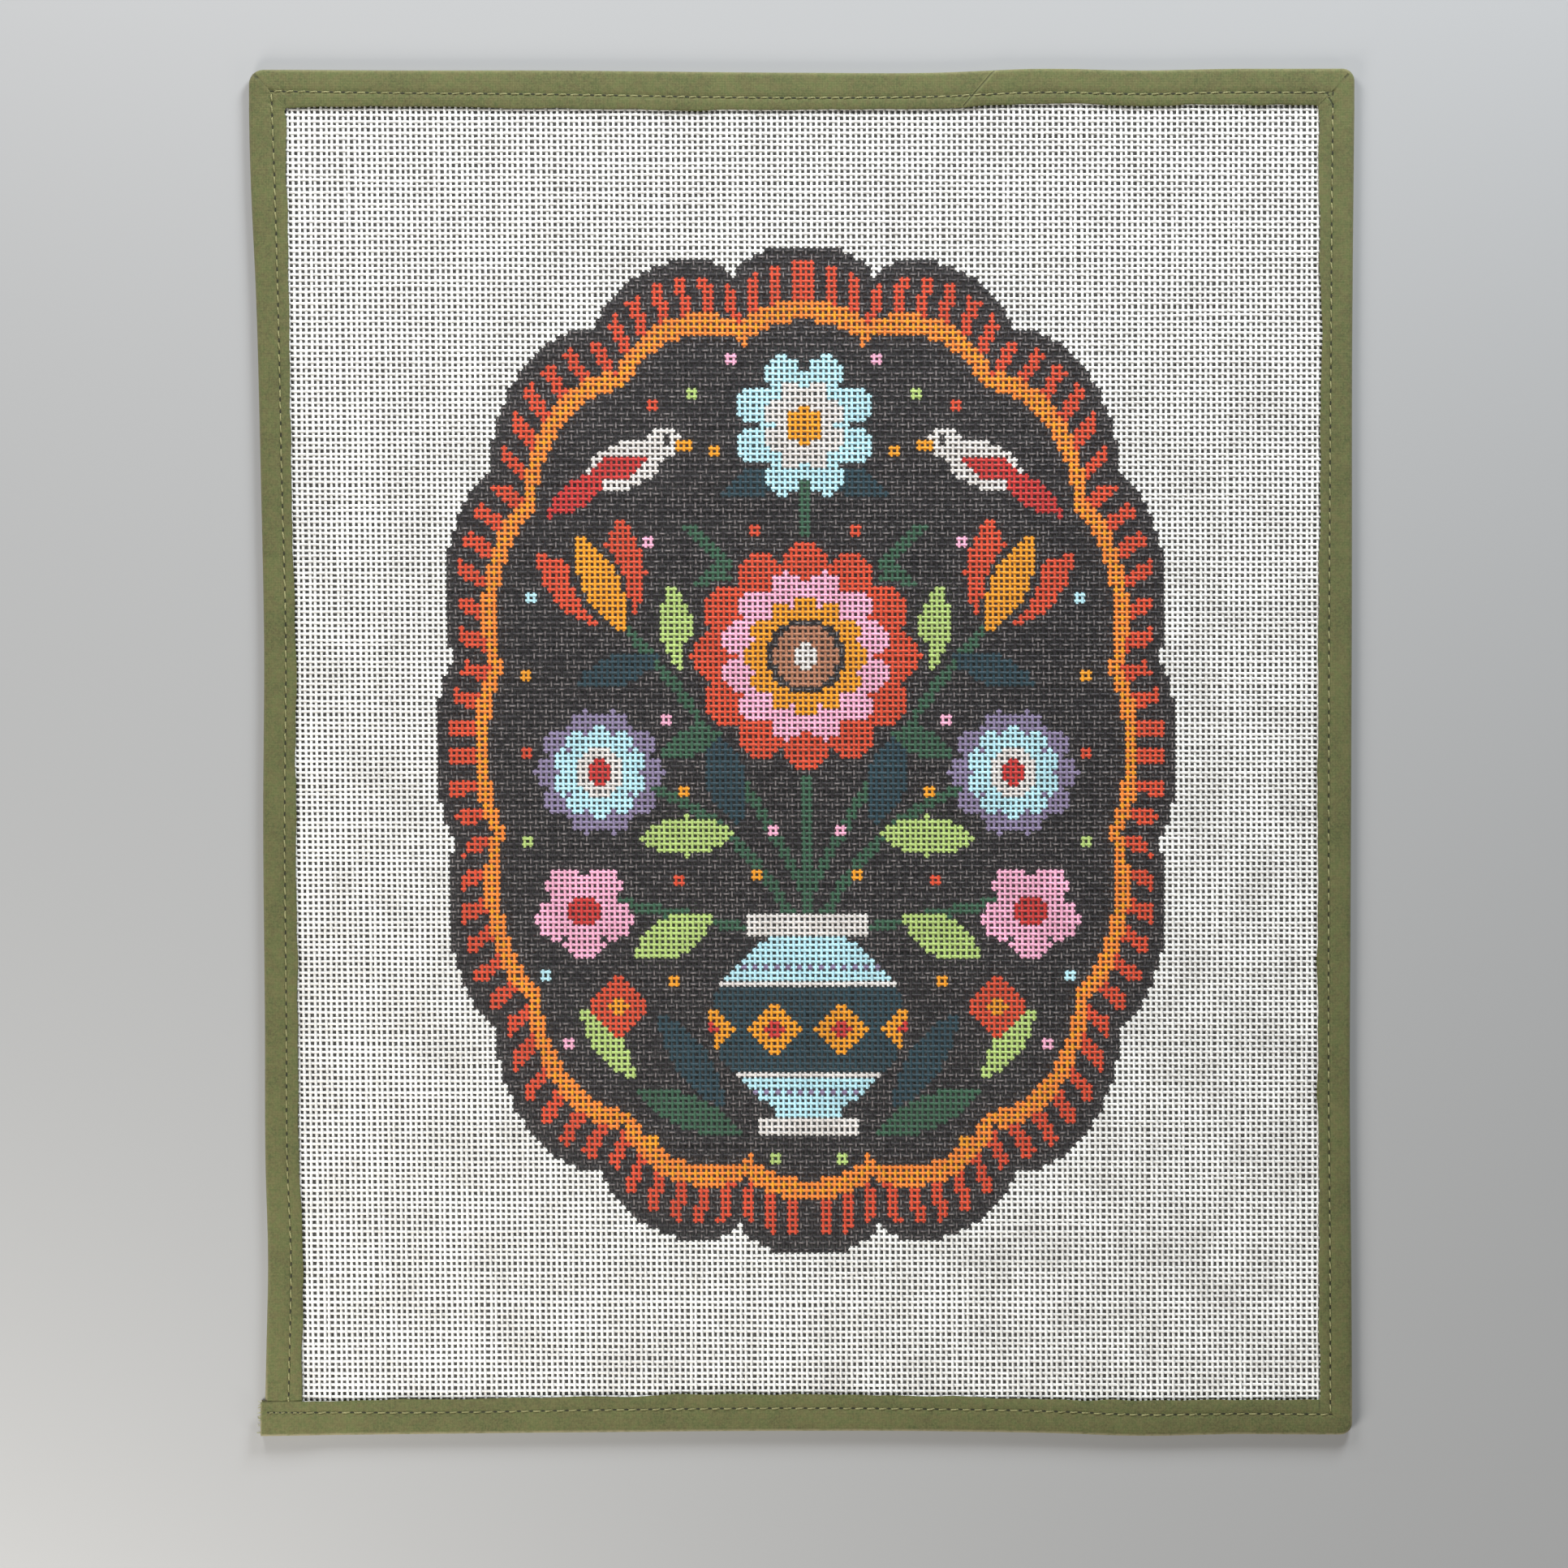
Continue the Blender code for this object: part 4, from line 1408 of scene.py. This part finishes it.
def thread_material():
    """Sewing thread, a little yellower and lighter than the tape, with a visible twist."""
    material, build, shader, place = new_material("olive thread")
    parts = build.split(build.add("ShaderNodeUVMap", uv_map="thread").outputs[0])
    turns = build.sum("MULTIPLY_ADD", parts["X"], 4.0, parts["Y"])
    twist = build.sum("COSINE", build.sum("MULTIPLY", turns, 4 * math.pi))
    uneven = build.noise(place, 260.0, 2.0)
    colour = build.mix(build.ramp(uneven, 0.3, 0.7), linear(150, 148, 90), linear(182, 178, 120))
    # The grooves of the twist are darkened: painted shade
    colour = build.mix(build.ramp(twist, 0.2, -1.0), colour, linear(104, 100, 56))
    build.feed(shader.inputs["Base Color"], colour)
    shader.inputs["Roughness"].default_value = 0.6
    shader.inputs["Sheen Weight"].default_value = 0.15
    build.feed(shader.inputs["Normal"], build.bump(twist, 0.06 * MM).outputs[0])
    return material


def yarn_material():
    """Loose yarn of the tape, paler than the cloth."""
    material, build, shader, place = new_material("loose yarn")
    colour = build.mix(build.noise(place, 900.0), linear(124, 124, 78), linear(168, 166, 122))
    build.feed(shader.inputs["Base Color"], colour)
    shader.inputs["Roughness"].default_value = 0.9
    return material


# %% [markdown]
# ## Pieces
# Each mesh becomes an object that rides on the panel. The threads stand for the canvas node
# and the tape for the binding node. Each set of threads covers only about half of its rectangle.

canvas_look = canvas_material()
for mesh in thread_meshes:
    piece = add_piece(mesh.name, mesh, canvas_look, "canvas")
    corners = corner_points(mesh)

tape_piece = add_piece("binding_tape", tape_mesh, tape_material(), "binding")
sewing = thread_material()
add_piece("stitching_front", front_mesh, sewing)
add_piece("stitching_back", back_mesh, sewing)
add_piece("cut_end_threads", frayed_mesh, yarn_material())

# %% [markdown]
# ## Setting, light and camera
# The panel lies on a plain pale floor and the camera looks straight down, as it was
# photographed. Four soft lights stand round it, near enough that the panel is brightest along
# its top and at the lower left, as in the photograph, and darker at the lower right. All of
# them stand low, so little light falls straight through the canvas and its meshes read dark.

# %%
VIEW_MIDDLE = (-6.12, -10.95)
VIEW_WIDTH = 542.9
CAMERA_HEIGHT = 1.2
ROOM_SEEN = 0.55
ROOM_LIGHT = 0.13
FAR_GLOW = 0.42

# Name, place in metres, power in watts and colour of each light
LIGHTS = (
    ("upper_left", (-0.40, 0.75, 0.45), 6.1, (0.99, 1.0, 1.02)),
    ("upper_right", (0.42, 0.96, 0.45), 14.2, (0.96, 1.02, 1.08)),
    ("lower_left", (-0.48, -0.64, 0.38), 6.5, (1.02, 1.0, 0.96)),
    ("lower_right", (0.90, -0.74, 0.50), 2.2, (1.03, 1.0, 0.95)),
)
LIGHT_SIZE = 0.35
FLOOR_HALF = 12.0
FLOOR_COLOUR = (0.37, 0.367, 0.362, 1.0)
GLOW_COLOUR = (0.98, 0.99, 1.0, 1.0)
ROOM_COLOUR = (0.96, 0.98, 1.0, 1.0)


def add_floor():
    """Plain pale floor, which glows faintly beyond the reach of the lights, so that it stays
    as pale in the distance."""
    mesh = bpy.data.meshes.new("floor")
    mesh.from_pydata([(x * FLOOR_HALF, y * FLOOR_HALF, 0)
                      for x, y in ((-1, -1), (1, -1), (1, 1), (-1, 1))], [], [(0, 1, 2, 3)])
    material, build, shader, place = new_material("pale floor")
    far = build.ramp(build.vector("LENGTH", place), 0.5, 2.2)
    build.feed(shader.inputs["Emission Strength"], build.sum("MULTIPLY", far, FAR_GLOW))
    shader.inputs["Emission Color"].default_value = GLOW_COLOUR
    shader.inputs["Base Color"].default_value = FLOOR_COLOUR
    shader.inputs["Roughness"].default_value = 0.75
    mesh.materials.append(material)
    floor = bpy.data.objects.new("floor", mesh)
    bpy.context.scene.collection.objects.link(floor)


def add_light(name, place, power, colour):
    """Soft square light at a place, facing the middle of the panel, not seen itself."""
    data = bpy.data.lights.new(name, "AREA")
    data.energy = power
    data.color = colour
    data.size = LIGHT_SIZE
    light = bpy.data.objects.new(name, data)
    light.location = place
    light.rotation_mode = "QUATERNION"
    light.rotation_quaternion = light.location.to_track_quat("Z", "Y")
    light.visible_camera = False
    bpy.context.scene.collection.objects.link(light)


def add_room():
    """Even pale surroundings, which light the panel only weakly."""
    world = bpy.data.worlds.new("room")
    world.use_nodes = True
    build = Tree(world.node_tree)
    seen = build.add("ShaderNodeLightPath").outputs["Is Camera Ray"]
    background = world.node_tree.nodes["Background"]
    background.inputs["Color"].default_value = ROOM_COLOUR
    build.feed(background.inputs["Strength"],
               build.sum("MULTIPLY_ADD", seen, ROOM_SEEN - ROOM_LIGHT, ROOM_LIGHT))
    bpy.context.scene.world = world


def add_camera():
    """Camera straight above the panel, as wide as the photograph."""
    data = bpy.data.cameras.new("camera")
    data.sensor_width = 36.0
    data.lens = data.sensor_width * CAMERA_HEIGHT / (VIEW_WIDTH * MM)
    data.clip_start = 0.01
    camera = bpy.data.objects.new("camera", data)
    camera.location = (VIEW_MIDDLE[0] * MM, VIEW_MIDDLE[1] * MM, CAMERA_HEIGHT)
    bpy.context.scene.collection.objects.link(camera)
    bpy.context.scene.camera = camera


scene = bpy.context.scene
scene.view_settings.view_transform = "Standard"
add_floor()
for light in LIGHTS:
    add_light(*light)
add_room()
add_camera()
